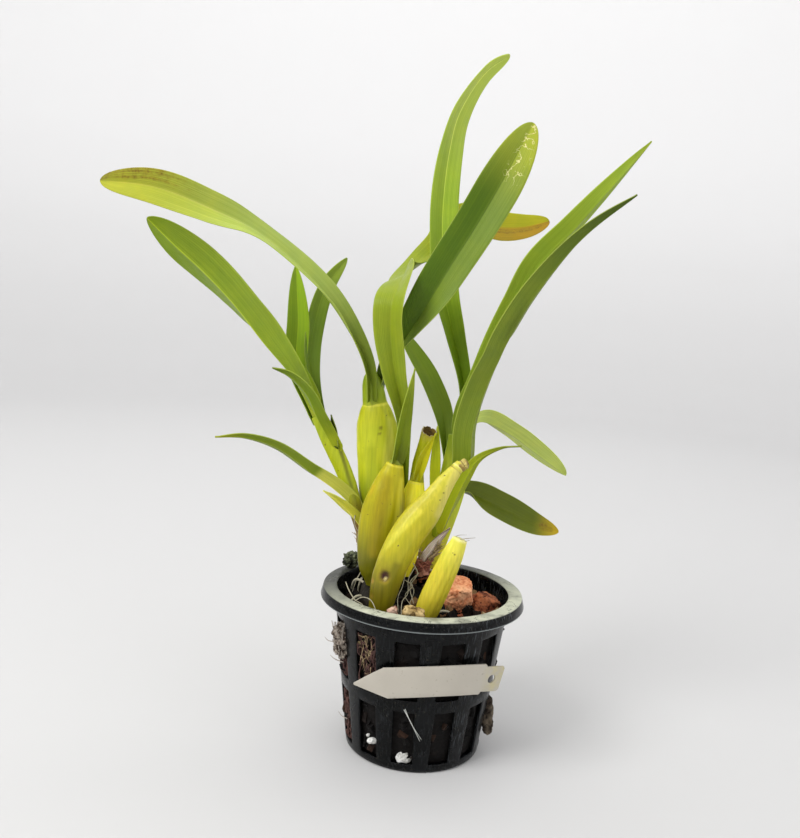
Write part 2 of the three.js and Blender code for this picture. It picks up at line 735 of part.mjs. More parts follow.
// Loose pieces that lie in the mouth of the pot or stick out of a slot
const LUMPS = {
  brick_large: { at: [16, 2, 73.5], size: [16, 15, 15], turn: [18, 4, 12], seed: 3, colour: "brick" },
  brick_dark: { at: [30.8, 0.5, 69], size: [12, 12, 11], turn: [0, 20, 40], seed: 5, colour: "darkBrick" },
  brick_small: { at: [1.5, 25, 76], size: [9, 8, 9], turn: [15, 0, 20], seed: 8, colour: "darkBrick" },
  bark_tan: { at: [-4.5, -30.5, 70.5], size: [11, 6, 7], turn: [20, 15, 10], seed: 11, colour: "bark" },
  bark_pink: { at: [-13.5, -31, 69.5], size: [5, 4, 8], turn: [5, -10, 20], seed: 14, colour: "brick" },
  bark_small: { at: [10, -31, 67.5], size: [9, 5, 5], turn: [0, 5, 15], seed: 17, colour: "bark" },
  bark_flake: { at: [35, -5.6, 18], size: [8, 5, 19], turn: [0, -4, 81], seed: 27, colour: "bark" },
  fibre_clump: { at: [-36.4, -14, 53.5], size: [8.5, 6, 16], turn: [0, 0, -69], seed: 31, colour: "sheath" },
  charcoal: { at: [-35.6, 24.5, 80.2], size: [9, 7, 6.4], turn: [0, 0, 25], seed: 21, colour: "charcoal" },
};

const group = new THREE.Group();
const solids = {};
const margins = {}; // the same pieces, larger by GAP all round

function addNode(name, solid, colour) {
  const mesh = new THREE.Mesh(geometryOf(solid), FINISH[colour]);
  mesh.name = name;
  group.add(mesh);
  solids[name] = solid;
}

function makeRhizome(radius, rootRadius) {
  const radii = [[0, radius * 0.8], [0.5, radius], [1, radius]];
  const stock = solidOf(bentBodyGeometry({ route: RHIZOME.route, radii, sides: 10, rows: 14 }));
  return join([stock, ...ROOTS.map((points) => tubeSolid(points, rootRadius))]);
}

function makeCutSheath(grow) {
  const { route, radius, wall } = CUT_SHEATH;
  const profile = [[0, 0], [radius * 0.6 + grow, 0], [radius * 0.8 + grow, 0.4], [radius + grow, 1]];
  if (grow > 0) profile.push([0, 1]);
  else profile.push([radius - wall, 1], [radius * 0.8 - wall, 0.5], [0, 0.45]);
  const geometry = new THREE.LatheGeometry(profile.map((p) => new THREE.Vector2(...p)), 10);
  geometry.rotateX(Math.PI / 2);
  return solidOf(bend(geometry, curveThrough(route), CUT_SHEATH.flat, 0));
}

for (const [name, body] of Object.entries(BODIES)) {
  const sided = { sides: BULB_SIDES, ...body };
  margins[name] = solidOf(bentBodyGeometry(sided, GAP));
  addNode(name, solidOf(bentBodyGeometry(sided)), body.colour);
}

for (const [name, leaf] of Object.entries(LEAVES)) {
  const cutters = leaf.clears.map((other) => margins[other]);
  margins[name] = solidOf(bladeGeometry(leaf, GAP));
  addNode(name, largestPart(cutAway(solidOf(bladeGeometry(leaf)), cutters)), leaf.colour);
}

const besideSheath = ["pseudobulb_back", "pseudobulb_middle", "leaf_centre_twisted", "leaf_stub_middle"];
const sheathCutters = besideSheath.map((n) => margins[n]);
addNode("cut_sheath", largestPart(cutAway(makeCutSheath(0), sheathCutters)), "sheath");

for (const [name, lump] of Object.entries(LUMPS)) {
  margins[name] = solidOf(lumpGeometry(lump, GAP));
  addNode(name, solidOf(lumpGeometry(lump)), lump.colour);
}

const standing = [...Object.keys(BODIES), ...Object.keys(LUMPS), "papery_sheath", "sheath_left_pointed"];
const standingRoom = standing.map((n) => margins[n]);
const rhizome = makeRhizome(RHIZOME.radius, ROOT_RADIUS);
addNode("rhizome", largestPart(cutAway(rhizome, standingRoom)), "root");
const rhizomeRoom = makeRhizome(RHIZOME.radius + GAP, ROOT_RADIUS + GAP);
addNode("potting_mix", largestPart(cutAway(makeMix(), [...standingRoom, rhizomeRoom])), "mix");
addNode("pot", makePot(), "potPlastic");
addNode("plant_label", labelSolid(), "label");

export default group;
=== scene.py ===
# %% [markdown]
# # A potted miltonia orchid, dressed over its frame
# The plant is a clump of yellow-green pseudobulbs with folded strap leaves, in a black net pot with
# bark, brick and charcoal. The CAD frame gives every place and size. Each of its nodes is made
# again here with a finer mesh in the same place, so that veins, fibres and crumbs show, and what is
# too fine for the frame is added. The offsets of Blender's vector noise would follow the clock, so
# they get a fixed seed, and every run makes the same chips.

import math
import random

import bmesh
import bpy
from mathutils import Euler, Matrix, Vector, noise
from mathutils.geometry import interpolate_bezier, intersect_point_line


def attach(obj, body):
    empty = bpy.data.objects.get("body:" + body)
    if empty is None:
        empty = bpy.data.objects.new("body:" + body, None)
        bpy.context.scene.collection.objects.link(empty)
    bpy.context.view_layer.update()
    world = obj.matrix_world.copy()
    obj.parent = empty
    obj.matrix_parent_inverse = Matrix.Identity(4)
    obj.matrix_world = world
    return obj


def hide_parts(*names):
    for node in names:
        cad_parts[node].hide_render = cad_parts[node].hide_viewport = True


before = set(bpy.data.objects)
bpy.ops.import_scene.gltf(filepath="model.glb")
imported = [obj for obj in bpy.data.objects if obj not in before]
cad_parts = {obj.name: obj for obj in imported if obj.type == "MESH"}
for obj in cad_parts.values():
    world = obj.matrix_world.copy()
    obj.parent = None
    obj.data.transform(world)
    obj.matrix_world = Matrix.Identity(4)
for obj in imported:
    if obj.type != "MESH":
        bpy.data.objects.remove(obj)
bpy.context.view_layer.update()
MM = 0.001
noise.seed_set(4)
print("CAD nodes:", len(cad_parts))

# %% [markdown]
# ## Camera
# The picture was taken a little above the pot's rim from about 40 cm, nearly level, with a slight
# roll. A camera at that place, with the lens that gives the same perspective, lets every leaf be
# set against the picture. It is turned by plain angles, so nothing has to aim it.

# %% Place the camera
camera_data = bpy.data.cameras.new("camera")
camera_data.lens = 38.66
camera = bpy.data.objects.new("camera", camera_data)
camera.location = (-0.016167, -0.411665, 0.211020)
camera.rotation_euler = Euler([math.radians(a) for a in (82.3332, -3.8898, 0.5232)])
bpy.context.scene.collection.objects.link(camera)
bpy.context.scene.camera = camera
bpy.context.scene.view_settings.view_transform = "Standard"
print("camera", tuple(round(c, 3) for c in camera.location))

# %% [markdown]
# ## Finishes
# Real surfaces are never one flat colour, so each finish is a small graph of nodes: a colour that
# drifts, a roughness that drifts with it, and a bump for the fine relief. `Finish` is a notebook
# for one such graph. Its methods add one node each and hand back the socket to plug in next.
# Colours are written as in a paint program, two hex digits a channel, and turned to linear light.


# %% Helper: paint and finish
def paint(code):
    channels = [int(code[i : i + 2], 16) / 255 for i in (0, 2, 4)]
    light = [c / 12.92 if c <= 0.04045 else ((c + 0.055) / 1.055) ** 2.4 for c in channels]
    return (*light, 1.0)


class Finish:
    """One material: a Principled shader and the nodes that feed it."""

    def __init__(self, name, **sockets):
        self.material = bpy.data.materials.new(name)
        self.material.use_nodes = True
        self.tree = self.material.node_tree
        self.shader = self.tree.nodes["Principled BSDF"]
        for socket, value in sockets.items():
            self.shader.inputs[socket.replace("_", " ")].default_value = value
        self.places = self.node("TexCoord")
        place = self.node("SeparateXYZ", {0: self.places.outputs["Object"]})
        self.x, self.y, self.z = place.outputs
        flat = self.node("SeparateXYZ", {0: self.places.outputs["UV"]})
        self.across, self.along = flat.outputs[:2]

    def node(self, kind, inputs=(), **settings):
        made = self.tree.nodes.new("ShaderNode" + kind)
        for setting, value in settings.items():
            setattr(made, setting, value)
        for socket, value in dict(inputs).items():
            if isinstance(value, bpy.types.NodeSocket):
                self.tree.links.new(value, made.inputs[socket])
            else:
                made.inputs[socket].default_value = value
        return made

    def attribute(self, name, output="Fac"):
        return self.node("Attribute", attribute_name=name).outputs[output]

    def noise(self, scale, stretch=(1, 1, 1), detail=3.0, on="Object"):
        spread = self.node("Mapping", {"Vector": self.places.outputs[on], "Scale": stretch})
        inputs = {"Vector": spread.outputs[0], "Scale": scale, "Detail": detail}
        return self.node("TexNoise", inputs).outputs[0]

    def pits(self, scale):
        vector = self.places.outputs["Object"]
        return self.node("TexVoronoi", {"Vector": vector, "Scale": scale}).outputs["Distance"]

    def maths(self, operation, a, b=0.0):
        return self.node("Math", {0: a, 1: b}, operation=operation).outputs[0]

    def times(self, a, b):
        return self.maths("MULTIPLY", a, b)

    def from_half(self, value):
        return self.maths("ABSOLUTE", self.maths("SUBTRACT", value, 0.5))

    def step(self, value, low, high, start=0.0, end=1.0):
        inputs = {"Value": value, 1: low, 2: high, 3: start, 4: end}
        return self.node("MapRange", inputs, interpolation_type="SMOOTHSTEP").outputs[0]

    def mix(self, share, a, b, blend="MIX"):
        inputs = {0: share, 6: a, 7: b}
        return self.node("Mix", inputs, data_type="RGBA", blend_type=blend).outputs[2]

    def shaded(self, share, colour, factor):
        """The colour, turned by a share towards itself times a factor."""
        return self.mix(share, colour, self.mix(1.0, colour, (*factor, 1), "MULTIPLY"))

    def finish(self, colour, roughness, *reliefs):
        """reliefs are (height socket, depth in millimetres)."""
        self.tree.links.new(colour, self.shader.inputs["Base Color"])
        self.tree.links.new(roughness, self.shader.inputs["Roughness"])
        normal = None
        for height, depth in reliefs:
            inputs = {"Height": height, "Distance": depth * MM}
            if normal is not None:
                inputs["Normal"] = normal
            normal = self.node("Bump", inputs).outputs[0]
        if normal is not None:
            self.tree.links.new(normal, self.shader.inputs["Normal"])
        return self.material


print("leaf green as light:", tuple(round(c, 3) for c in paint("7fa03c")[:3]))

# %% [markdown]
# ## Floor and light
# A plain pale bowl stands for the white table and wall: a flat floor whose rim curves up far away,
# so no edge shows from any side. Spinning a short profile makes it in one go. The light is that of
# a room with a large window at the upper left: one broad area light there, a weak one at the right,
# and a pale sky for the rest.


# %% Floor and light
def turned(profile, steps, name):
    """A shape spun about the vertical axis from (radius, height) pairs in metres."""
    shape = bmesh.new()
    points = [shape.verts.new((radius, 0, height)) for radius, height in profile]
    edges = [shape.edges.new(pair) for pair in zip(points, points[1:])]
    bmesh.ops.spin(
        shape, geom=points + edges, cent=(0, 0, 0), axis=(0, 0, 1), angle=2 * math.pi,
        steps=steps, use_merge=True,
    )
    bmesh.ops.remove_doubles(shape, verts=shape.verts, dist=1e-7)
    bmesh.ops.recalc_face_normals(shape, faces=shape.faces)
    print(name, "spun,", len(shape.faces), "faces")
    return shape


BOWL_FLOOR, BOWL_CURVE, BOWL_TOP = 1.3, 0.5, 1.4
wall_curve = [
    (BOWL_FLOOR + BOWL_CURVE * math.sin(a), BOWL_CURVE - BOWL_CURVE * math.cos(a))
    for a in (0, 0.3, 0.6, 0.9, 1.2, 1.57)
]
bowl_profile = [(0, 0), (0.4, 0), *wall_curve, (BOWL_FLOOR + BOWL_CURVE, BOWL_TOP)]
bowl_shape = turned(bowl_profile, 64, "bowl")
bowl_mesh = bpy.data.meshes.new("bowl")
bowl_shape.to_mesh(bowl_mesh)
bowl_shape.free()
bowl_mesh.shade_smooth()
bowl = bpy.data.objects.new("bowl", bowl_mesh)
bpy.context.scene.collection.objects.link(bowl)
card = Finish("white_card", Specular_IOR_Level=0.2)
bowl_mesh.materials.append(
    card.finish(
        card.mix(card.step(card.z, 0.0, 0.6), paint("cdcdce"), paint("e9e9ea")),
        card.step(card.noise(6.0), 0, 1, 0.75, 0.9),
    )
)

world = bpy.data.worlds.new("room")
world.use_nodes = True
world.node_tree.nodes["Background"].inputs["Color"].default_value = (1.0, 0.99, 0.97, 1.0)
world.node_tree.nodes["Background"].inputs["Strength"].default_value = 0.9
bpy.context.scene.world = world


def area_light(name, place, aim, size, power, colour=(1, 1, 1)):
    data = bpy.data.lights.new(name, "AREA")
    data.size, data.energy, data.color = size, power, colour
    lamp = bpy.data.objects.new(name, data)
    lamp.location = place
    lamp.rotation_euler = (Vector(place) - Vector(aim)).to_track_quat("Z", "Y").to_euler()
    bpy.context.scene.collection.objects.link(lamp)
    print(name, "at", place)


area_light("window", (-0.75, -0.6, 1.0), (0, 0, 0.2), 0.6, 11, (1.0, 0.99, 0.97))
area_light("room_right", (0.9, -0.7, 0.6), (0, 0, 0.15), 0.9, 2, (0.96, 0.98, 1.0))
area_light("wall_wash", (0, 0.5, 1.5), (0, 1.7, 0.6), 1.0, 7)

# %% [markdown]
# ## Routes
# Every grown piece follows a curve from foot to tip. Real leaves bend smoothly, so the points of
# the frame are joined by a centripetal spline, which passes through each of them without loops.
# `Route` samples it with Blender's own Bezier tool and can then be walked by share of its length.


# %% Helper: routes and frames along them
def smooth(x):
    """Rises softly from 0 to 1 while x goes from 0 to 1."""
    x = min(max(x, 0.0), 1.0)
    return x * x * (3 - 2 * x)


def lerp(a, b, share):
    """The value a share of the way from a to b."""
    return a + (b - a) * share


class Route:
    """A smooth curve through points given in millimetres, walked by share of its length."""

    STEPS = 24

    def __init__(self, points, unit=MM):
        p = [Vector(q) * unit for q in points]
        p = [2 * p[0] - p[1], *p, 2 * p[-1] - p[-2]]
        self.spots = []
        for before, start, end, after in zip(p, p[1:], p[2:], p[3:]):
            gaps = (start - before, end - start, after - end)
            a, b, c = (gap.length ** 0.5 for gap in gaps)
            out = ((start - before) / a - (end - before) / (a + b) + (end - start) / b) * b
            into = ((end - start) / b - (after - start) / (b + c) + (after - end) / c) * b
            piece = interpolate_bezier(start, start + out / 3, end - into / 3, end, self.STEPS + 1)
            self.spots += piece[:-1]
        self.spots.append(p[-2])
        self.reach = [0.0]
        for s, t in zip(self.spots, self.spots[1:]):
            self.reach.append(self.reach[-1] + (t - s).length)
        self.length = self.reach[-1]

    def at(self, share):
        goal = min(max(share, 0.0), 1.0) * self.length
        low, high = 0, len(self.reach) - 1
        while high - low > 1:
            middle = (low + high) // 2
            if self.reach[middle] <= goal:
                low = middle
            else:
                high = middle
        part = (goal - self.reach[low]) / (self.reach[high] - self.reach[low])
        return self.spots[low].lerp(self.spots[high], part)

    def heading(self, share):
        ahead, behind = min(share + 0.01, 1.0), max(share - 0.01, 0.0)
        return (self.at(ahead) - self.at(behind)).normalized()


def frame_on(route, faces, share):
    """Forward, side and face: face is the way the upper side looks, as near `faces` as it can."""
    forward = route.heading(share)
    spot = share * (len(faces) - 1)
    i = min(int(spot), max(len(faces) - 2, 0))
    face = Vector(faces[i]).normalized()
    if len(faces) > 1:
        face = face.lerp(Vector(faces[i + 1]).normalized(), smooth(spot - i))
    face = (face - forward * face.dot(forward)).normalized()
    return forward, forward.cross(face), face


def keep(name, shape, finishes, stands_for=(), shaded_smooth=True):
    """Turns a bmesh into a finished piece that rides on the part."""
    mesh = bpy.data.meshes.new(name)
    shape.to_mesh(mesh)
    shape.free()
    for finish in finishes:
        mesh.materials.append(finish)
    if shaded_smooth:
        mesh.shade_smooth()
    piece = bpy.data.objects.new(name, mesh)
    bpy.context.scene.collection.objects.link(piece)
    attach(piece, "root")
    if stands_for:
        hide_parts(*stands_for)
    print(name, len(mesh.polygons), "faces")
    return piece


def thicken(piece, millimetres, offset=-1.0, under=0, rim=0, keel=None):
    """keel is the share of the thickness that is left at the margin; the fold has it all."""
    solid = piece.modifiers.new("wall", "SOLIDIFY")
    solid.thickness, solid.offset = millimetres * MM, offset
    solid.material_offset, solid.material_offset_rim = under, rim
    solid.use_even_offset = keel is None
    if keel is not None:
        solid.vertex_group, solid.thickness_vertex_group = "keel", keel


def rounded(piece, millimetres, degrees):
    bevel = piece.modifiers.new("edges", "BEVEL")
    bevel.width, bevel.segments = millimetres * MM, 2
    bevel.limit_method, bevel.angle_limit = "ANGLE", math.radians(degrees)


def subdivided(piece):
    surface = piece.modifiers.new("surface", "SUBSURF")
    surface.levels = surface.render_levels = 1


# %% [markdown]
# ## Leaf finish
# An orchid leaf is a thin fleshy strap. Its upper side is satin with fine lengthwise veins, the
# under side is paler and has a raised keel, and the margin is a thin clear line that catches light.
# Young tissue at the foot is yellow, and old tips turn yellow and then brown. The slow colour drift
# is different on each leaf, so it is stored on the mesh as the `tint` attribute, which also holds
# the painted light and shade of each half of the fold. Its alpha says how pale the fold line is;
# where it is not pale, the fold gets painted shade. Brown specks follow a second attribute where
# it is above zero; below zero it gives pale scars. One upper and one under finish then serve every
# leaf.


# %% Leaf finishes
VEINS = 21


def leaf_finish(name, under):
    skin = Finish(name, Subsurface_Weight=0.1, Subsurface_Scale=0.0004, Specular_IOR_Level=0.22)
    skin.shader.inputs["Subsurface Radius"].default_value = (0.6, 1.0, 0.1)
    off = skin.from_half(skin.across)
    tint = skin.attribute("tint", "Color")

    # Streaks and veins run lengthwise; patches do not.
    streaks = skin.noise(1.0, (40, 2.2, 1), 2.0, "UV")
    fine = skin.noise(1.0, (150, 5, 1), 1.0, "UV")
    patches = skin.noise(120.0, detail=2.0)
    veins = skin.maths("SINE", skin.times(skin.across, 2 * math.pi * VEINS))
    colour = skin.shaded(skin.step(streaks, 0.3, 0.7), tint, (0.8, 0.84, 0.7))
    colour = skin.shaded(skin.step(patches, 0.35, 0.7, 0, 0.4), colour, (1.25, 1.14, 0.9))
    colour = skin.shaded(skin.step(veins, 0.2, 1.0, 0, 0.25), colour, (0.66, 0.76, 0.5))

    # Along the fold runs a pale line; where it is not pale, painted shade darkens the groove.
    # The clear margin gets a pale line with a painted highlight.
    pale = skin.attribute("tint", "Alpha")
    line = skin.step(off, 0.007, 0.026, 1, 0)
    colour = skin.shaded(skin.times(line, pale), colour, (2.1, 1.8, 3.4))
    # painted shade in the groove of the fold; on the under side the fold is a keel and gets less
    groove_shade = skin.times(line, skin.maths("SUBTRACT", 0.3 if under else 0.8, pale))
    colour = skin.shaded(skin.maths("MAXIMUM", groove_shade, 0.0), colour, (0.4, 0.5, 0.3))
    # the clear margin's own pale colour, with a painted highlight along the edge
    colour = skin.mix(skin.step(off, 0.475, 0.49, 0, 0.45), colour, paint("b4c254"))

    # `browned` above zero lets brown specks through, below zero it draws pale scars.
    smear = skin.times(skin.noise(1.0, (16, 5, 1), 4.0, "UV"), 0.55)
    blotch = skin.maths("ADD", smear, skin.times(skin.noise(330.0, detail=5.0), 0.45))
    uncovered = skin.maths("SUBTRACT", 1.0, skin.attribute("browned"))
    cover = skin.step(skin.maths("SUBTRACT", blotch, uncovered), -0.14, 0.2, 0, 0.85)
    brown = skin.mix(skin.step(skin.noise(900.0), 0.4, 0.65), paint("8c7a1a"), paint("6a4414"))
    colour = skin.mix(cover, colour, brown)
    ridge = skin.from_half(skin.noise(260.0, detail=2.0))
    scarred = skin.maths("MAXIMUM", skin.times(skin.attribute("browned"), -1.0), 0.0)
    scars = skin.times(skin.step(ridge, 0.008, 0.022, 1, 0), scarred)
    colour = skin.mix(scars, colour, paint("e2dc9a"))

    low, high = (0.4, 0.56) if under else (0.33, 0.52)
    rough = skin.step(skin.noise(300.0), 0.2, 0.8, low, high)
    grain = skin.noise(1500.0, detail=1.0)
    return skin.finish(colour, rough, (veins, 0.02), (fine, 0.03), (grain, 0.02), (patches, 0.12))


LEAF_SKINS = [leaf_finish("leaf_upper_side", False), leaf_finish("leaf_under_side", True)]
print("leaf finishes:", [m.name for m in LEAF_SKINS])

# %% [markdown]
# ## How a leaf is made
# The leaf is a flat grid that is carried along its route. Each row of the grid becomes a V with its
# fold on the route, tight at the foot, where the leaf clasps the shoot, and nearly flat towards the
# tip. Each half is slightly bowed and the margin waves a little, as soft tissue does. Solidify then
# gives it its thickness, more along the keel, and puts the under finish on the under side.


# %% Helper: leaf blade
ACROSS, ALONG = 16, 84
BOW = math.radians(7)
CLASP_REACH, THINNEST, RIPPLES = 0.07, 0.35, 45
FOLD_CROWDING, TIP_CROWDING = 1.25, 1.2
LEAF_THICK, MARGIN_SHARE, KEEL_REACH = 1.05, 0.58, 0.14


def half_width(v, width, foot, belly, shoulder, point, clasp):
    """Widens from the foot share to the belly, then narrows from the shoulder to the tip."""
    fill = foot + (1 - foot) * smooth(v / belly)
    past = max(0.0, (v - shoulder) / (1 - shoulder))
    narrow = lerp(clasp, 1, smooth(v / CLASP_REACH))
    return max(width / 2 * fill * narrow * max(1 - past * past, 0.0) ** point, THINNEST) * MM


def grid_place(vert):
    """Share across (-1 to 1) and along (0 to 1), with more rows at the fold and the tip."""
    across = math.copysign(abs(vert.co.x) ** FOLD_CROWDING, vert.co.x)
    return across, 1 - ((1 - vert.co.y) / 2) ** TIP_CROWDING


def tint_at(look, u, v):
    """Colour of the tissue: foot, body and tip, with the two halves of the fold set apart by
    painted light and shade.
    """
    foot, body, tip = (Vector(paint(look[part])) for part in ("foot", "body", "tip"))
    # the other half's body colour paints how lit that half of the fold is
    other = Vector(paint(look.get("other_half_shading", look["body"])))
    body = body.lerp(other, smooth(u * 4 + 0.5))
    colour = foot.lerp(body, smooth((v - look.get("sheath", 0.0)) / look.get("rise", 0.3)))
    tip = tip.lerp(Vector(paint(look.get("other_tip", look["tip"]))), smooth(u * 4 + 0.5))
    yellowing = look.get("tip_from", 0.9)
    colour = colour.lerp(tip, smooth((v - yellowing) / (1 - yellowing)))
    # painted light and shade: each half of the fold is lightened or darkened by its factor, then by
    # the look's shade
    half_shading = look.get("half_shading", (1.0, 1.0))
    shade = lerp(half_shading[0], half_shading[1], smooth(u * 4 + 0.5))
    if "shade" in look:
        shade *= look["shade"](u, v)
    red, green, blue = colour.xyz * shade
    return Vector((red, green, blue * 0.5, look.get("midrib", 0.35)))


def blade(
    node, route, faces, look, width, foot=0.5, fold=(55, 16), shoulder=0.72, point=0.5, belly=0.45,
    clasp=0.4, wave=0.35, along=ALONG, skins=LEAF_SKINS,
):
    """width and wave are in millimetres, fold in degrees a side, at the foot and further out.

    faces are the ways the upper side looks, from foot to tip; look holds the colours.
    """
    curve = Route(route)
    shape = bmesh.new()
    flat = shape.loops.layers.uv.new("leaf")
    tint = shape.verts.layers.float_color.new("tint")
    browned = shape.verts.layers.float.new("browned")
    groups = shape.verts.layers.deform.verify()
    bmesh.ops.create_grid(shape, x_segments=ACROSS, y_segments=along, size=1.0)
    for face in shape.faces:
        for corner in face.loops:
            u, v = grid_place(corner.vert)
            corner[flat].uv = (u / 2 + 0.5, v)
    for vert in shape.verts:
        u, v = grid_place(vert)
        _, side, up = frame_on(curve, faces, v)
        angle = math.radians(lerp(fold[0], fold[1], smooth(v / 0.6)))
        edge = angle + BOW - 2 * BOW * abs(u)
        out = (math.sin(angle + BOW) - math.sin(edge)) / (2 * BOW)
        rise = (math.cos(edge) - math.cos(angle + BOW)) / (2 * BOW)
        half = half_width(v, width, foot, belly, shoulder, point, clasp)
        spot = Vector((v * curve.length * RIPPLES, math.copysign(3.7, u), width))
        ripple = noise.noise(spot) * wave * MM
        vert.co = curve.at(v) + side * math.copysign(out, u) * half + up * rise * half
        vert.co += up * ripple * u * u
        vert[tint] = tint_at(look, u, v)
        vert[browned] = look["brown"](u, v) if "brown" in look else 0.0
        vert[groups][0] = max(0.0, 1 - abs(u) / KEEL_REACH)
    piece = keep("blade_" + node.removeprefix("leaf_"), shape, skins, [node])
    piece.vertex_groups.new(name="keel")
    thicken(piece, LEAF_THICK, 0.0, under=1, rim=1, keel=MARGIN_SHARE)
    subdivided(piece)


# %% [markdown]
# ## Leaves of the old bulb
# The largest bulb carries two leaves. The long one arches to the left and turns its upper side to
# the front; its outer third has yellowed, with a dull brown bloom on the upper half. The broad one
# stands up to the right with an open fold and a yellow tip that has pale scars.

# %% Leaves of the old bulb
blade(
    "leaf_long_left",
    [(-31, 13, 161.5), (-33, 11, 177), (-43, 7, 195), (-56.5, 1, 212.5), (-83, -5, 234),
     (-107.5, -10, 244.5), (-128.5, -14, 251), (-151.5, -17, 252)],
    [(0.35, -0.94, -0.02), (0.6, -0.46, 0.66), (0.96, 0.07, -0.26), (0.13, -0.97, 0.21)],
    dict(
        foot="788a28", body="aabd80", tip="b2b44a", rise=0.4, tip_from=0.5, half_shading=(1.08, 0.88),
        midrib=0.5, brown=lambda u, v: 0.5 * smooth((v - 0.62) / 0.25) * smooth(0.3 + u * 1.7),
    ),
    width=17, shoulder=0.8, clasp=1,
)
blade(
    "leaf_broad_front",
    [(-25.5, 17.5, 162), (-23.5, 15.5, 177), (-16.5, 12, 191), (-8, 8, 207), (2, 3, 226.5),
     (12, -2, 245), (21.5, -6, 264.5), (32.5, -10, 289.5)],
    [(-0.8, -0.6, 0), (-0.25, -0.95, 0.15), (0.1, -0.95, 0.3)],
    dict(
        foot="56681a", body="54701a", other_half_shading="768c4a", tip="a0ac54", other_tip="b0b850",
        tip_from=0.72, midrib=0.2,
        brown=lambda u, v: (
            -0.9 * smooth((v - 0.8) / 0.05) * smooth((u + 0.25) * 4) * smooth((0.9 - u) * 3)
        ),
    ),
    width=21, foot=0.4, shoulder=0.76, clasp=1,
)

# %% [markdown]
# ## Leaves of the smaller bulbs
# The left bulb has one narrow leaf, the middle bulb a stub, and behind them a long leaf rises,
# turns over behind the broad one and lies down to the right, where it has gone yellow and brown.

# %% Leaves of the smaller bulbs
blade(
    "leaf_left_bulb",
    [(-17, -2, 135.5), (-15, -4, 149), (-13, -5, 165), (-11, -5, 180)],
    [(0.5, -0.9, 0)],
    dict(foot="66720c", body="7a8c1c", tip="a8b85a", tip_from=0.6, midrib=0.3, half_shading=(1.05, 0.9)),
    width=8.5, foot=1, fold=(38, 16), shoulder=0.1, point=1, clasp=0.9, along=40,
)
blade(
    "leaf_stub_middle",
    [(-6.5, 5, 126.5), (-4, 4, 137), (1, 2.5, 150)],
    [(0, -1, 0)],
    dict(foot="a8a410", body="bcb81c", tip="ccc848", half_shading=(1.0, 1.15)),
    width=6.5, foot=1, shoulder=0.1, point=1.2, clasp=0.9, along=40,
)
blade(
    "leaf_centre_twisted",
    [(-12, 11, 110), (-12.5, 9.5, 128.5), (-14.5, 5, 155.5), (-20.5, 0, 178), (-23, -3, 196),
     (-23, -4, 209), (-18.5, 12, 221), (-18.5, 24, 222), (-11, 34, 228.5), (-1.5, 42, 238.5),
     (4, 49, 249.5), (14, 55, 253), (27.5, 62, 250.5), (41.5, 69, 252), (55.5, 75, 256.5)],
    [(0.29, -0.96, 0), (0, -1, 0), (0.02, -1, 0), (-0.49, -0.87, 0.06), (-0.67, -0.45, 0.6),
     (-0.2, -0.84, 0.5), (0.28, -0.92, 0.28), (0.28, -0.92, 0.28)],
    dict(
        foot="667a14", body="8e9e36", tip="bcb828", other_tip="b08a28", tip_from=0.55, midrib=0.35,
        brown=lambda u, v: 0.56 * smooth((v - 0.76) / 0.08) * smooth(u * 5) * smooth(1.8 - 2.2 * u),
    ),
    width=17.5, foot=0.3, belly=0.46, shoulder=0.82, along=150,
)

# %% [markdown]
# ## Leaves of the left shoot
# A young shoot leans to the left. Its broadest leaf shows its under side with a pale keel. Two
# leaves stand behind it, a short one stops half way, and the lowest one is a narrow sickle whose
# foot is a pale sheath. Two small sheaths stand by the stem.

# %% Leaves of the left shoot
blade(
    "leaf_broad_left",
    [(-57.5, 20.5, 150), (-67.5, 18, 168), (-83, 15, 185.5), (-97, 10, 203), (-111.5, 6, 217.5),
     (-123.5, 2, 228), (-135.5, -1, 239)],
    [(0.84, -0.15, 0.52), (0.64, 0.58, 0.51), (0.34, 0.86, 0.37)],
    dict(foot="a8b438", body="8fa63a", rise=0.2, other_half_shading="829e0a", tip="88a01e", midrib=1.0),
    width=30.5, shoulder=0.55, point=0.6,
)
blade(
    "leaf_left_inner",
    [(-57.5, 23, 146.5), (-68.5, 30, 173), (-70, 38, 196.5), (-73.5, 45, 223.5)],
    [(0.31, -0.93, 0.21), (0.01, -0.96, 0.29)],
    dict(foot="789412", body="8aa822", tip="94b028", half_shading=(0.78, 1.14), midrib=0.7),
    width=12, shoulder=0.55, point=0.7, along=60,
)
blade(
    "leaf_left_back",
    [(-51.5, 23, 144), (-62, 31, 173.5), (-62.5, 42, 194.5), (-58.5, 50, 213.5), (-49, 58, 229.5)],
    [(0.63, -0.78, -0.01), (0.55, -0.81, 0.2)],
    dict(foot="64782a", body="708a30", tip="94aa54", tip_from=0.6, midrib=0.55),
    width=11, foot=0.35, shoulder=0.6, point=0.6, along=60,
)
blade(
    "leaf_left_short",
    [(-44.5, 17.2, 133), (-50.5, 15.5, 143), (-55.5, 12, 152.5), (-60.5, 9, 163), (-69, 7, 171.5),
     (-77, 5, 175)],
    [(0.7, 0.45, 0.5), (0.45, 0.6, 0.65)],
    dict(foot="b0bc30", body="7c9420", tip="5f7610", rise=0.55, half_shading=(0.88, 1.1)),
    width=11.5, foot=0.8, shoulder=0.5, point=0.8, clasp=0.15, along=50,
)
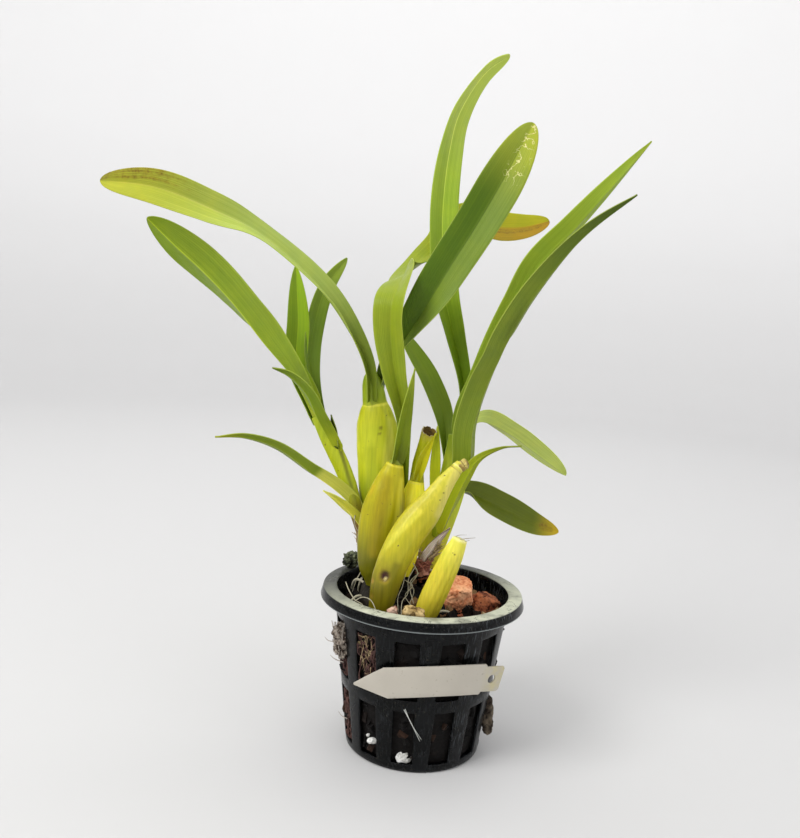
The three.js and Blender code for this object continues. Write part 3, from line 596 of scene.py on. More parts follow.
blade(
    "leaf_left_low",
    [(-32, 11.5, 100), (-38, 12.5, 111.5), (-45, 11.5, 118), (-56.5, 9, 126), (-72, 4, 137.5),
     (-86.5, -1, 142.5), (-100, -6, 142.5)],
    [(0.67, 0.69, 0.27), (0.28, 0.66, 0.7)],
    dict(
        foot="c8ca78", body="7c9022", tip="a0a434", sheath=0.37, rise=0.04, tip_from=0.8,
        midrib=0.5,
    ),
    width=11.5, foot=1, shoulder=0.3, point=0.9,
)
blade(
    "sheath_left_pointed",
    [(-29, 7, 98), (-36, 5.5, 108), (-44, 4, 115), (-50, 3, 119)],
    [(0.4, 0.8, 0.4)],
    dict(foot="b8b440", body="ccca5c", tip="e2dea0", tip_from=0.7, half_shading=(1.0, 1.25)),
    width=8, foot=1, shoulder=0.3, point=1, along=40,
)
blade(
    "sheath_left_small",
    [(-44.5, 16.5, 137), (-47, 18, 145), (-49.5, 19, 153)],
    [(-0.6, -0.8, 0)],
    dict(foot="56621a", body="424d0c", tip="2f3a08"),
    width=4.5, foot=1, shoulder=0.3, point=1, along=30,
)

# %% [markdown]
# ## Leaves of the right shoot
# The right shoot is a flat fan. Its outer leaf wraps the foot of all the others and turns its
# satin under side to the front. One more runs up beside it, a tall one stands behind, one bends
# back to the left, and on the right two droop and a thin one curls out low. A small pale leaf
# stands inside.

# %% Leaves of the right shoot
blade(
    "leaf_right_front",
    [(5, 9, 98), (9.5, 8, 113), (17.5, 7, 132), (18, 5, 152.5), (23, 1, 175), (26.5, -4, 186),
     (29, -9, 194.5), (37, -14, 212.5), (50, -18, 233.5), (59.5, -20, 245), (77.5, -21, 261)],
    [(-0.31, 0.95, 0), (-0.75, 0.64, 0.16), (-0.58, 0.44, 0.68)],
    dict(
        foot="8e9f1c", body="7a8c3a", tip="4c601c", rise=0.34, tip_from=0.6, midrib=0.3,
        shade=lambda u, v: 1 - 0.3 * smooth(1 - abs(v - 0.6) / 0.09) * smooth(1.3 - 2 * abs(u)),
    ),
    width=19.5, foot=0.75, shoulder=0.45, point=0.85, fold=(50, 25), along=110,
)
blade(
    "leaf_right_long",
    [(11.5, 11.5, 142), (14, 11, 160), (20.5, 9, 175.5), (28, 5, 194.5), (35, 1, 212),
     (41.5, -4, 229), (54, -9, 245.5), (67, -12, 263), (83, -14, 284.5)],
    [(-0.51, 0.86, 0), (-0.55, 0.77, 0.32), (-0.35, 0.78, 0.52)],
    dict(foot="809634", body="9ab24c", tip="93a640", midrib=0.3),
    width=17.5, shoulder=0.45, point=0.85, fold=(50, 30), along=100,
)
blade(
    "leaf_tall_back",
    [(12, 18.5, 140), (13.5, 20, 168.5), (6.5, 23, 195), (0.5, 26, 216), (-2, 30.5, 241),
     (-2.5, 38, 261.5), (-1, 48, 285), (3, 59, 305.5), (15, 67, 327.5), (27.5, 73, 338.5)],
    [(0.2, -0.98, 0), (0.34, -0.94, 0), (0.98, -0.19, 0.08)],
    dict(foot="678406", body="93ae40", tip="c6d884", rise=0.5, tip_from=0.5, midrib=1.0),
    width=16, shoulder=0.75, along=100,
)
blade(
    "leaf_centre_back",
    [(9, 19.5, 126.5), (7.5, 25, 140), (5, 30, 155), (-3, 35, 172), (-12, 40, 185),
     (-20.5, 45, 196)],
    [(0, -1, 0.2), (0.4, -0.8, 0.4)],
    dict(foot="627a12", body="718730", tip="7c963e"),
    width=11, shoulder=0.6,
)
blade(
    "leaf_right_drooping",
    [(16, 18, 128), (17, 23, 146.5), (23, 30, 153), (38.5, 38, 147.5), (55.5, 43, 136.5),
     (71.5, 47, 126)],
    [(-0.84, -0.01, 0.54), (0.05, 0.38, 0.92), (0.19, 0.63, 0.75)],
    dict(
        foot="98aa4c", body="d8e8ac", tip="ccdc98", rise=0.2, midrib=0.0,
        shade=lambda u, v: 1 - 0.5 * smooth(0.2 - u * 3) * smooth((0.66 - v) / 0.25),
    ),
    width=18.5, shoulder=0.6, point=0.6,
)
blade(
    "leaf_right_thin",
    [(7, 5.5, 100.5), (11, 4.5, 114.5), (16, 3.5, 128.5), (21.5, 3.5, 138.5), (32, 5, 144.5),
     (42, 9, 145.5)],
    [(-0.4, 0.91, 0.09), (0.01, 0.73, 0.68)],
    dict(foot="919614", body="9ca91e", tip="6a780e", tip_from=0.6),
    width=11.5, foot=1, shoulder=0, point=1.6,
)
blade(
    "leaf_right_low",
    [(9, 18.5, 106), (15, 24, 117.5), (22, 30, 116), (37, 36, 109.5), (56.5, 40, 100.5),
     (69.5, 42, 97)],
    [(-0.4, -0.61, 0.69), (0.15, -0.81, 0.57), (0.15, -0.79, 0.6)],
    dict(
        foot="4a580c", body="606c10", tip="c0a42a", tip_from=0.78,
        brown=lambda u, v: (
            0.62 * smooth((v - 0.8) / 0.08) * smooth((0.99 - v) / 0.05) * (1 - u * u)
        ),
    ),
    width=16.5, shoulder=0.6, point=0.6,
)
blade(
    "leaf_inner_small",
    [(4, 12, 106), (2.5, 11.5, 125), (2, 12, 140), (2, 12.5, 152)],
    [(0, -1, 0)],
    dict(foot="c6d028", body="cad432", tip="ccd660"),
    width=5.5, foot=1, shoulder=0.5, point=0.8, along=40,
)

# %% [markdown]
# ### Papery sheath
# At the foot of the right shoot an old sheath has died and peels away. It is built like a leaf,
# waves more, and has a finish of its own: thin, streaked lengthwise, brown along its torn edges.


# %% Papery sheath
def paper_finish():
    paper = Finish(
        "dry_paper", Subsurface_Weight=0.1, Subsurface_Scale=0.0004, Specular_IOR_Level=0.2
    )
    streaks = paper.noise(1.0, (26, 3, 1), 4.0, "UV")
    fine = paper.noise(1.0, (90, 5, 1), 2.0, "UV")
    off = paper.from_half(paper.across)
    colour = paper.mix(paper.step(streaks, 0.3, 0.65), paint("b09a8c"), paint("f0e6dc"))
    colour = paper.mix(paper.step(fine, 0.55, 0.7, 0, 0.35), colour, paint("6c5448"))
    torn = paper.maths("ADD", off, paper.times(paper.noise(600.0), 0.1))
    colour = paper.mix(paper.step(torn, 0.47, 0.54, 0, 0.8), colour, paint("5a4034"))
    return paper.finish(colour, paper.step(streaks, 0, 1, 0.7, 0.9), (streaks, 0.15), (fine, 0.08))


PAPER = paper_finish()
blade(
    "papery_sheath",
    [(-1, 11.5, 80), (-0.5, 8, 85), (2, 6, 91.5), (6, 5, 98.5), (11, 4.2, 105)],
    [(-0.4, 0.9, 0.1)],
    dict(foot="b08a6a", body="ead6ca", tip="eee0d0"),
    width=5.4, foot=1, shoulder=0.3, point=0.8, wave=1.6, along=40,
    skins=[PAPER, PAPER],
)

# %% [markdown]
# ## Pseudobulbs and stems
# A pseudobulb is a swollen, slightly flattened stem with a blunt edge on each side and faint ribs.
# Turning a profile gives its swelling, and bending that body along the route gives its lean. The
# section is then pinched to two edges and ribbed by a formula, because lathes only make rounds.


# %% Helper: bent body
RIBS, EDGE_SHARPNESS, DENT_RATE = 11, 10, 130
FRONT = [(0, -1, 0)]


def bent_body(route, radii, flat, edge=0.1, ribs=0.012, sides=64, rows=120, seed=0.0, dents=0.15):
    """radii are (share of length, radius in mm); flat is the depth as a share of the width."""
    curve = Route(route)
    outline = Route([(radius, 0, share) for share, radius in radii], 1.0)
    profile = [outline.at(i / rows) for i in range(rows + 1)]
    points = [(0.0, 0.0), *((p.x * MM, min(max(p.z, 0.0), 1.0)) for p in profile), (0.0, 1.0)]
    shape = turned(points, sides, "body")
    along = shape.verts.layers.float.new("along")
    for vert in shape.verts:
        v = vert[along] = min(max(vert.co.z, 0.0), 1.0)
        _, side, face = frame_on(curve, FRONT, v)
        turn = math.atan2(vert.co.y, vert.co.x)
        swell = 1 + edge * abs(math.cos(turn)) ** EDGE_SHARPNESS
        swell += ribs * math.cos(RIBS * turn) * math.sin(math.pi * v)
        spot = curve.at(v) + side * vert.co.x * swell - face * vert.co.y * flat * swell
        bump = noise.fractal(spot * DENT_RATE + Vector((seed, 0, 0)), 1.0, 2.0, 3) * dents * MM
        away = (spot - curve.at(v)).normalized() if vert.co.xy.length > 1e-6 else Vector()
        vert.co = spot + away * bump
    return shape


# %% [markdown]
# ### Bulb finish
# The skin is waxy: yellow where the sun reached it, olive in the shade and at the foot, with fine
# lengthwise fibres under the surface and a few dark nicks. The tint again sits on the mesh, because
# each bulb ripens in its own way; it also holds streaks of painted highlight and painted shade.


# %% Bulb finish
def bulb_finish():
    skin = Finish(
        "bulb_skin", Subsurface_Weight=0.2, Subsurface_Scale=0.001, Specular_IOR_Level=0.34
    )
    skin.shader.inputs["Subsurface Radius"].default_value = (1.0, 0.8, 0.15)
    tint = skin.attribute("tint", "Color")
    fibres = skin.noise(1.0, (900, 900, 60), 3.0)
    clouds = skin.noise(70.0, detail=3.0)
    colour = skin.mix(skin.step(fibres, 0.3, 0.7), (0.88, 0.9, 0.8, 1), (1.08, 1.07, 1.1, 1))
    colour = skin.mix(1.0, tint, colour, "MULTIPLY")
    colour = skin.mix(1.0, colour, (1.12, 1.12, 0.6, 1), "MULTIPLY")
    colour = skin.shaded(skin.step(clouds, 0.4, 0.75, 0, 0.35), colour, (0.75, 0.9, 0.6))
    nicks = skin.step(skin.noise(420.0, detail=2.0), 0.72, 0.78)
    colour = skin.mix(nicks, colour, paint("5c4a1a"))
    rough = skin.step(skin.noise(220.0), 0.2, 0.8, 0.3, 0.48)
    return skin.finish(colour, rough, (fibres, 0.05), (skin.noise(900.0), 0.03), (nicks, -0.1))


BULB_SKIN = bulb_finish()


def body_piece(
    name, node, slot, low, high, top, rise=(0.15, 0.7), rings=(), spots=(), streaks=(), **build
):
    """A bulb or stem whose tint goes from `low` at the foot through `high` to `top`.

    rings are (share of length, half width, raise in mm, colour), spots are (place in mm,
    radius in mm, dent in mm, colour) and streaks are (start, end, radius in mm, colour): lengthwise
    bands, mostly painted highlights along the edges and painted shade, partly the skin's own
    colour.
    """
    shape = bent_body(**build)
    curve = Route(build["route"])
    tint = shape.verts.layers.float_color.new("tint")
    along = shape.verts.layers.float["along"]
    foot, middle, crown = (Vector(paint(code)) for code in (low, high, top))
    for vert in shape.verts:
        v = vert[along]
        colour = foot.lerp(middle, smooth((v - rise[0]) / 0.35))
        colour = colour.lerp(crown, smooth((v - rise[1]) / (1 - rise[1])))
        outward = (vert.co - curve.at(v)).normalized()
        spot_at = vert.co.copy()
        for where, width, height, code in rings:
            share = 1 - smooth(abs(v - where) / width)
            colour = colour.lerp(Vector(paint(code)), share)
            vert.co += outward * height * MM * share
        # streaks blend in painted highlights and painted shade, partly the skin's own colour
        for start, end, radius, code in streaks:
            start, end = Vector(start) * MM, Vector(end) * MM
            near = start.lerp(end, min(max(intersect_point_line(spot_at, start, end)[1], 0), 1))
            share = 1 - smooth((spot_at - near).length / (radius * MM) * 1.3 - 0.3)
            colour = colour.lerp(Vector(paint(code)), share * 0.8)
        for place, radius, dent, code in spots:
            share = 1 - smooth((spot_at - Vector(place) * MM).length / (radius * MM) * 1.6 - 0.6)
            colour = colour.lerp(Vector(paint(code)), share)
            vert.co -= outward * dent * MM * share
        vert[tint] = colour
    keep(name, shape, [BULB_SKIN], [node] if node else [])


# %% [markdown]
# ### The five bulbs
# The back bulb is the widest and ends in a shoulder and a pale ring where its leaves sit. The left
# and middle ones carry a leaf each. The front one curves over to the right and ends in a dry,
# ringed scar. The short one was cut. Small necks join three bulbs to their leaves, and two slim
# stems carry the young shoots.

# %% Bulbs
body_piece(
    "bulb_back", "pseudobulb_back", "bulb", "7c860a", "bcc032", "b0b230", rise=(0.34, 0.75),
    route=[(-17, 18, 82), (-21, 18, 104), (-24, 18, 128), (-26.5, 17, 145), (-28.5, 15.5, 161)],
    radii=[(0, 4), (0.2, 8), (0.5, 10.2), (0.8, 9.2), (0.93, 7.4), (1, 5.2)], flat=0.72, seed=1,
    rings=[(0.99, 0.014, 0.0, "ccca5c")],
    spots=[
        ((-24.9, 10.5, 149.4), 1.3, 0.1, "85821e"), ((-25.2, 10.5, 146.5), 1.1, 0.1, "85821e"),
    ],
    # streaks: painted highlights along both sides, a darker painted band down the middle
    streaks=[
        ((-19, 11, 153), (-20.5, 11, 124), 4.4, "c6c46c"),
        ((-36, 12, 156), (-36.5, 12, 148), 2.2, "bea23c"),
        ((-29, 10, 138), (-27, 10, 112), 4, "a2aa14"),
        ((-36.4, 15, 158), (-35.6, 15, 118), 0.9, "d2d07c"),
    ],
)
body_piece(
    "bulb_left", "pseudobulb_left", "bulb", "6f6c10", "a39a10", "b3a816", rise=(0.2, 0.6),
    route=[(-23, -1, 76), (-22.5, -2, 100), (-20, -2, 120), (-17, -2, 135)],
    radii=[(0, 3.5), (0.25, 8.2), (0.55, 9.2), (0.85, 6.3), (1, 3.5)], flat=0.68, seed=2,
    rings=[(0.99, 0.014, 0.0, "d2c84c")],
    spots=[((-22, -8, 107.1), 0.9, 0.25, "3c3410")],
    # streaks: painted highlights along both edges, a darker painted band down the middle
    streaks=[
        ((-24.5, -8, 94), (-20.5, -7, 128), 4.8, "98880c"),
        ((-29, -4, 108), (-26, -4, 124), 1.6, "bca424"),
        ((-12.6, -5, 128), (-14.5, -7, 102), 2.8, "d2ca50"),
    ],
)
body_piece(
    "bulb_middle", "pseudobulb_middle", "bulb", "ecde46", "fff66a", "f2e842",
    route=[(-10, 4, 80), (-8.5, 5, 102), (-7.5, 5, 116), (-6.5, 5, 126)],
    radii=[(0, 3), (0.3, 5.6), (0.65, 6.2), (1, 3.4)], flat=0.65, seed=3,
    rings=[(0.985, 0.016, 0.0, "ece46c")],
)
body_piece(
    "bulb_front", "pseudobulb_front", "bulb", "6e6516", "b8ae34", "ccc45e", rise=(0.12, 0.6),
    route=[
        (-20, -18, 66), (-16.5, -17, 87), (-10, -15.5, 104), (0, -12.5, 119), (7, -9.5, 130),
        (13, -7, 138),
    ],
    radii=[(0, 4.4), (0.3, 6.6), (0.55, 7), (0.8, 4.6), (1, 2.2)], flat=0.72, seed=4,
    rings=[(0.975, 0.008, 0.2, "e4dcae"), (0.955, 0.006, -0.15, "8c7c46")],
    spots=[
        ((-18.5, -22, 87), 4.2, 0, "a8942e"), ((-18.5, -22, 87.3), 3.7, 0.9, "36141e"),
        ((-18.2, -22.5, 86.2), 1.6, 0.2, "eedccc"), ((8.2, -13, 131.4), 0.6, 0.1, "2e2812"),
        ((7.1, -13, 128.5), 0.55, 0.1, "2e2812"), ((5.9, -14, 125.4), 0.7, 0.1, "3c3416"),
        ((4.3, -15, 122.3), 0.5, 0.1, "3c3416"), ((9, -12, 134), 0.6, 0.1, "2e2812"),
        ((9, -8, 135), 2.2, 0, "d9b07c"), ((-21.5, -20, 96), 2.4, 0, "c8bc62"),
        ((-24, -19, 84), 1.6, 0.2, "a07c3c"), ((-23.5, -19, 77), 1.8, 0.2, "7c6a2a"),
    ],
    # streaks: two pale painted highlights, a darker painted band at the lower left
    streaks=[
        ((4, -15, 116), (11, -10, 134), 3.4, "cfc486"),
        ((-21, -20, 98), (-5, -18, 117), 2.4, "d6cc5c"),
        ((-13, -22, 92), (-17, -23, 74), 3.4, "7a7414"),
    ],
)
body_piece(
    "bulb_cut", "pseudobulb_cut", "bulb", "b6a83e", "d4c44e", "e2da72", rise=(0.1, 0.6),
    route=[(0, -20, 66), (4, -21, 79), (9, -22, 93), (14, -23, 107)],
    radii=[(0, 4.0), (0.3, 4.9), (0.7, 4.5), (1, 2.9)], flat=0.8, edge=0.16, ribs=0.03, seed=5,
    rings=[(1.0, 0.03, 0.0, "ece4c4")],
    spots=[((12.1, -26, 100.5), 0.7, 0.2, "6e5c20"), ((8.3, -23, 106.2), 1.0, 0.3, "cfc6a8")],
)
body_piece(
    "bulb_back_neck", None, "bulb", "b8ba40", "8c9e2a", "7c9022", rise=(0.0, 0.5),
    route=[(-28.2, 15.7, 157.5), (-29.4, 14.6, 164), (-31.6, 13, 175)],
    radii=[(0, 5.6), (0.3, 5.2), (0.65, 4.5), (0.9, 3.2), (1, 2)],
    flat=0.66, sides=40, rows=40, seed=9,
)
body_piece(
    "bulb_left_neck", None, "bulb", "aaa428", "7e8a1c", "6f7c16", rise=(0.0, 0.5),
    route=[(-17.2, -2, 132), (-16.8, -1.6, 135.5), (-16.4, -1, 139)],
    radii=[(0, 3.8), (0.4, 3.0), (0.8, 1.8), (1, 1)], flat=0.6, sides=36, rows=36, seed=10,
)
body_piece(
    "bulb_middle_neck", None, "bulb", "c8c034", "a6a61e", "98990c", rise=(0.0, 0.5),
    route=[(-6.7, 5, 123), (-6, 5.2, 128), (-5, 5.4, 133)],
    radii=[(0, 3.7), (0.4, 2.9), (0.8, 1.8), (1, 1)], flat=0.6, sides=36, rows=36, seed=12,
)
body_piece(
    "bulb_front_scar", None, "sheath", "8a7448", "c2b288", "705a3a",
    route=[(12, -7.6, 136.2), (13.6, -7, 138.2), (16, -6.8, 139.4)],
    radii=[(0, 1.8), (0.25, 2.4), (0.5, 1.9), (0.75, 2.2), (1, 0.9)], flat=0.8, ribs=0.12,
    dents=1.5, rings=[(0.5, 0.05, -0.2, "5a4428")], sides=48, rows=48, seed=8,
)
body_piece(
    "shoot_left", "stem_left", "leaf", "6e522e", "aab22c", "a8b434", rise=(0.28, 0.75),
    route=[
        (-24.5, 7.5, 77), (-29, 8.5, 90), (-33, 11, 103), (-39, 15, 121), (-48, 18, 138),
        (-56, 20, 152),
    ],
    radii=[(0, 1.4), (0.2, 1.5), (0.32, 1.9), (0.48, 3), (0.8, 3.4), (1, 2.8)],
    flat=0.5, edge=0.2, seed=6,
    # streaks: a dark band of painted shade and a pale painted highlight along the stem
    streaks=[
        ((-33, 12, 108), (-46, 17.5, 142), 1.5, "5a5c14"),
        ((-38, 12, 116), (-52, 16, 146), 1.0, "ccd048"),
    ],
)
body_piece(
    "shoot_right", "stem_right", "leaf", "ccca50", "bcc640", "8a9c2c",
    route=[(0.8, 15, 81.5), (5, 14.5, 98), (10, 14.5, 118), (12.5, 15, 136), (12.5, 16, 148)],
    radii=[(0, 2.6), (0.08, 4.2), (0.3, 5.4), (0.7, 5.6), (1, 4)], flat=0.42, edge=0.2, seed=7,
)

# %% [markdown]
# ## Net pot
# The pot is one thin moulded shell: floor, tapered wall with two tiers of slots, flat flange and a
# lip turned down. A grid is a good start, because its columns can lie along the slot sides and its
# rows along the slot ends. The cells of the slots and drains are deleted, the rest is wrapped round
# the axis, closed along the seam, thickened inwards and rounded at its edges.

# %% Net pot
POT_HEIGHT, LIP_DROP = 76.4, 5.0
WALL_TOP, WALL_FOOT, WALL = 41.7, 31.9, 1.2
SLOTS, FIRST_SLOT = 12, -9.0
TIERS = [(4.0, 30.0, 9.8), (36.0, 63.5, 11.2)]
SLOT_COLUMNS, RIB_COLUMNS = 6, 6
COLUMNS = SLOTS * (SLOT_COLUMNS + RIB_COLUMNS)


def wall_radius(z):
    return lerp(WALL_FOOT, WALL_TOP, z / POT_HEIGHT)


def heading(degrees):
    """Direction from the pot's axis, in degrees from the front towards the right."""
    return Vector((math.sin(math.radians(degrees)), -math.cos(math.radians(degrees)), 0))


def pot_rows():
    """(radius, height, slot width at that height, what a cell above it may be cut as)"""
    low_width, high_width = (width for _, _, width in TIERS)
    rows = [(radius, 0, low_width, "") for radius in (0.4, 7)]
    rows += [(radius, 0, low_width, "drain") for radius in (14, 18, 22)]
    rows += [(radius, 0, low_width, "") for radius in (26, 29, 30.9)]
    rows += [(31.9, 1, low_width, ""), (32.1, 2.5, low_width, "")]
    for low, high, width in TIERS:
        for i in range(5):
            z = low + (high - low) * i / 5
            rows.append((wall_radius(z), z, width, "slot"))
        rows += [(wall_radius(z), z, width, "") for z in (high, high + 3)]
    top = POT_HEIGHT - WALL
    rows += [(wall_radius(z), z, high_width, "") for z in (70, 73.5, top)]
    flange = [(43.5, top), (45.8, top), (46.2, top - 1.6), (46.8, POT_HEIGHT - LIP_DROP)]
    return rows + [(radius, z, high_width, "") for radius, z in flange]


def pot_shape():
    rows = pot_rows()
    shape = bmesh.new()
    bmesh.ops.create_grid(shape, x_segments=COLUMNS, y_segments=len(rows) - 1, size=1.0)
    place = {
        v: (round((v.co.x + 1) / 2 * COLUMNS), round((v.co.y + 1) / 2 * (len(rows) - 1)))
        for v in shape.verts
    }
    pitch = SLOT_COLUMNS + RIB_COLUMNS
    holes = []
    for face in shape.faces:
        column = min(place[v][0] for v in face.verts) % pitch
        cut = rows[min(place[v][1] for v in face.verts)][3]
        in_slot = column < SLOT_COLUMNS
        in_drain = 1 <= column < SLOT_COLUMNS - 1
        if (cut == "slot" and in_slot) or (cut == "drain" and in_drain):
            holes.append(face)
    for vert, (column, row) in place.items():
        radius, height, width, _ = rows[row]
        cell, part = divmod(column, pitch)
        half = math.degrees(math.asin(width / 2 / max(radius, 30)))
        if part <= SLOT_COLUMNS:
            turn = lerp(-half, half, part / SLOT_COLUMNS)
        else:
            turn = lerp(half, 360 / SLOTS - half, (part - SLOT_COLUMNS) / RIB_COLUMNS)
        vert.co = heading(FIRST_SLOT + cell * 360 / SLOTS + turn) * radius * MM
        vert.co.z = height * MM
    bmesh.ops.delete(shape, geom=holes, context="FACES")
    bmesh.ops.remove_doubles(shape, verts=shape.verts, dist=1e-6)
    middle = [
        e for e in shape.edges if e.is_boundary and all(v.co.xy.length < MM for v in e.verts)
    ]
    bmesh.ops.holes_fill(shape, edges=middle, sides=0)
    bmesh.ops.recalc_face_normals(shape, faces=shape.faces)
    wall = [f for f in shape.faces if 0.01 < f.calc_center_median().z < 0.06]
    outer = max(wall, key=lambda f: f.calc_center_median().xy.length)
    if outer.normal.dot(outer.calc_center_median()) < 0:
        bmesh.ops.reverse_faces(shape, faces=shape.faces)
    return shape


def pot_finish():
    """Black moulded plastic, scuffed, with painted highlights at the right and under the lip, and a
    worn and chalky rim.
    """
    plastic = Finish("net_pot_plastic", Specular_IOR_Level=0.16)
    clouds = plastic.noise(60.0, detail=4.0)
    scuffs = plastic.noise(1.0, (1600, 1600, 60), 4.0)

    # The top of the rim is worn where it faces the front and the right.
    level = plastic.node("CombineXYZ", {0: plastic.x, 1: plastic.y}).outputs[0]
    radius = plastic.node("VectorMath", {0: level}, operation="LENGTH").outputs[1]
    rim = plastic.step(plastic.z, 0.0758, 0.0763)
    toward = plastic.maths("SUBTRACT", plastic.times(plastic.x, 0.5), plastic.y)
    front = plastic.step(toward, -0.03, 0.036, 0.1, 1.0)
    chalky = plastic.step(plastic.noise(140.0, detail=6.0), 0.25, 0.55, 0.45, 1.0)
    worn = plastic.times(plastic.times(rim, front), chalky)

    # Black plastic with scuffs and a painted blue-grey highlight at the right, dusty, with a
    # painted highlight along the edge under the lip.
    colour = plastic.mix(plastic.step(clouds, 0.35, 0.7), paint("030404"), paint("0a0c0e"))
    # painted highlight at the right side, laid on the scuffs
    right = plastic.step(plastic.x, 0.005, 0.03, 0.15, 0.8)
    scuffs_and_highlight = plastic.times(plastic.step(scuffs, 0.52, 0.7), right)
    colour = plastic.mix(scuffs_and_highlight, colour, paint("4c5054"))
    dust = plastic.step(plastic.noise(800.0, detail=4.0), 0.6, 0.75, 0, 0.4)
    colour = plastic.mix(dust, colour, paint("4a463c"))
    # painted highlight along the lower edge of the lip
    below = plastic.step(plastic.z, 0.0724, 0.0716)
    lip_highlight = plastic.times(below, plastic.step(radius, 0.0462, 0.0466, 0, 0.9))
    colour = plastic.mix(lip_highlight, colour, paint("a4acac"))

    # Chalk with fine cracks lies on the worn rim.
    chalk = plastic.mix(plastic.noise(220.0, detail=5.0), paint("a2a698"), paint("d8dac4"))
    colour = plastic.mix(worn, colour, chalk)
    cracks = plastic.from_half(plastic.noise(75.0, detail=5.0))
    cracks = plastic.times(plastic.step(cracks, 0.002, 0.006, 0.8, 0), rim)
    colour = plastic.mix(cracks, colour, paint("33352c"))

    rough = plastic.step(clouds, 0.3, 0.7, 0.18, 0.32)
    rough = plastic.maths("ADD", rough, plastic.times(worn, 0.35))
    reliefs = (scuffs, 0.03), (clouds, 0.2), (dust, 0.03), (cracks, -0.1)
    return plastic.finish(colour, rough, *reliefs)


pot = keep("net_pot", pot_shape(), [pot_finish()], ["pot"])
thicken(pot, WALL)
rounded(pot, 0.35, 40)

# %% [markdown]
# ## Crumbly lumps
# Brick, bark and charcoal are broken pieces with flat breaks and a granular skin. Their frame
# nodes already have the breaks, so a copy of each is merged, cut finer and roughened by noise.


# %% Helper: rough copies of frame lumps
def rough_copy(name, node, finish, cuts, coarse, fine, seed, soften=2, tall=1.0):
    """coarse and fine are the depths of the two noises in mm; tall stretches it upwards."""
    shape = bmesh.new()
    shape.from_mesh(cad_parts[node].data)
    bmesh.ops.remove_doubles(shape, verts=shape.verts, dist=1e-6)
    bmesh.ops.subdivide_edges(shape, edges=shape.edges, cuts=cuts, use_grid_fill=True)
    for _ in range(soften):
        bmesh.ops.smooth_vert(
            shape, verts=shape.verts, factor=0.5, use_axis_x=True, use_axis_y=True, use_axis_z=True
        )
    shape.normal_update()
    shifts = {}
    for vert in shape.verts:
        spot = vert.co + Vector((seed, 0, 0))
        big = noise.fractal(spot * 220, 1.0, 2.0, 3)
        small = noise.fractal(spot * 900, 0.8, 2.0, 3)
        shifts[vert] = vert.normal * (big * coarse + small * fine) * MM
    for vert, shift in shifts.items():
        vert.co += shift
    foot = min(vert.co.z for vert in shape.verts)
    for vert in shape.verts:
        vert.co.z = lerp(foot, vert.co.z, tall)
    keep(name, shape, [finish], [node])


def stone_finish(name, dark, middle, light, pit_shade=0.5, rough=0.95, scale=1.0):
    """Granular break: three tones in grains, pits and dust; the dark tone in the pits is painted
    shade.
    """
    stone = Finish(name, Specular_IOR_Level=0.25)
    grains = stone.noise(700.0 * scale, detail=6.0)
    patches = stone.noise(180.0 * scale, detail=3.0)
    pits = stone.step(stone.pits(520.0 * scale), 0.1, 0.45)
    colour = stone.mix(stone.step(grains, 0.35, 0.65), paint(dark), paint(middle))
    colour = stone.mix(stone.step(patches, 0.4, 0.65), colour, paint(light))
    # painted shade: the pits are darkened towards the dark tone
    colour = stone.mix(stone.step(pits, 0.0, 0.5, pit_shade, 0.0), colour, paint(dark))
    roughness = stone.step(grains, 0, 1, rough - 0.12, rough)
    return stone.finish(colour, roughness, (grains, 0.35), (pits, 0.35), (patches, 0.4))


BRICK = stone_finish("brick_break", "d88258", "fab286", "ffc094", 0.35)
DARK_BRICK = stone_finish("brick_dark_break", "3c180e", "8a4a30", "b06c4a", 0.9)
BARK = stone_finish("bark_break", "54401f", "a98c58", "d6bb84", 0.8)
PINK_BARK = stone_finish("bark_pink_break", "7c4a40", "c08a7a", "d8b8a2", 0.6)
CHARCOAL = stone_finish("charcoal_moss", "12140f", "2a2e22", "7c8266", 0.9)
FELT = stone_finish("fibre_felt", "0e0a08", "4a382c", "bcb0a2", 0.9, scale=2.2)
HUSK = stone_finish("dry_husk", "1c1612", "3a3028", "6a5f50", 0.5)

rough_copy("brick_big", "brick_large", BRICK, 12, 0.7, 0.35, 1, 1)
rough_copy("brick_red", "brick_dark", DARK_BRICK, 10, 0.7, 0.45, 2, 1)
rough_copy("brick_behind", "brick_small", DARK_BRICK, 8, 0.6, 0.3, 3)
rough_copy("chip_tan", "bark_tan", BARK, 8, 0.9, 0.4, 4, tall=1.4)
rough_copy("chip_pink", "bark_pink", PINK_BARK, 7, 0.6, 0.3, 5, tall=1.4)
rough_copy("chip_small", "bark_small", BARK, 7, 0.7, 0.3, 6)
rough_copy("husk", "bark_flake", HUSK, 8, 0.8, 0.3, 7)
rough_copy("charcoal_lump", "charcoal", CHARCOAL, 10, 1.6, 0.8, 8)

# %% [markdown]
# ## Potting mix
# The mix is loose: a dark mass with bark chips, charcoal and brick crumbs lying on it and pressed
# against the slots. The mass is near black: partly the moist mix, partly painted shade in the gaps
# between the chips. One turned body makes the mass. Hundreds of chips, each a cut cube with its
# corners knocked about, are gathered in a single mesh, and each carries its own tone. A few white
# lumps of drainage stone show in the lower slots.


# %% Helper: chips
MIX_LEVEL, MIX_RADIUS, KNOCK, KNOCK_RATE = 66, 37.6, 0.9, 420


def add_chip(shape, tone_layer, place, size, draw, tone):
    turn = Euler([draw.uniform(0, 2 * math.pi) for _ in range(3)]).to_matrix().to_4x4()
    scale = Matrix.Diagonal((*(s * MM for s in size), 1.0))
    placed = Matrix.Translation(Vector(place) * MM) @ turn @ scale
    for vert in bmesh.ops.create_cube(shape, size=1.0, matrix=placed)["verts"]:
        vert[tone_layer] = tone


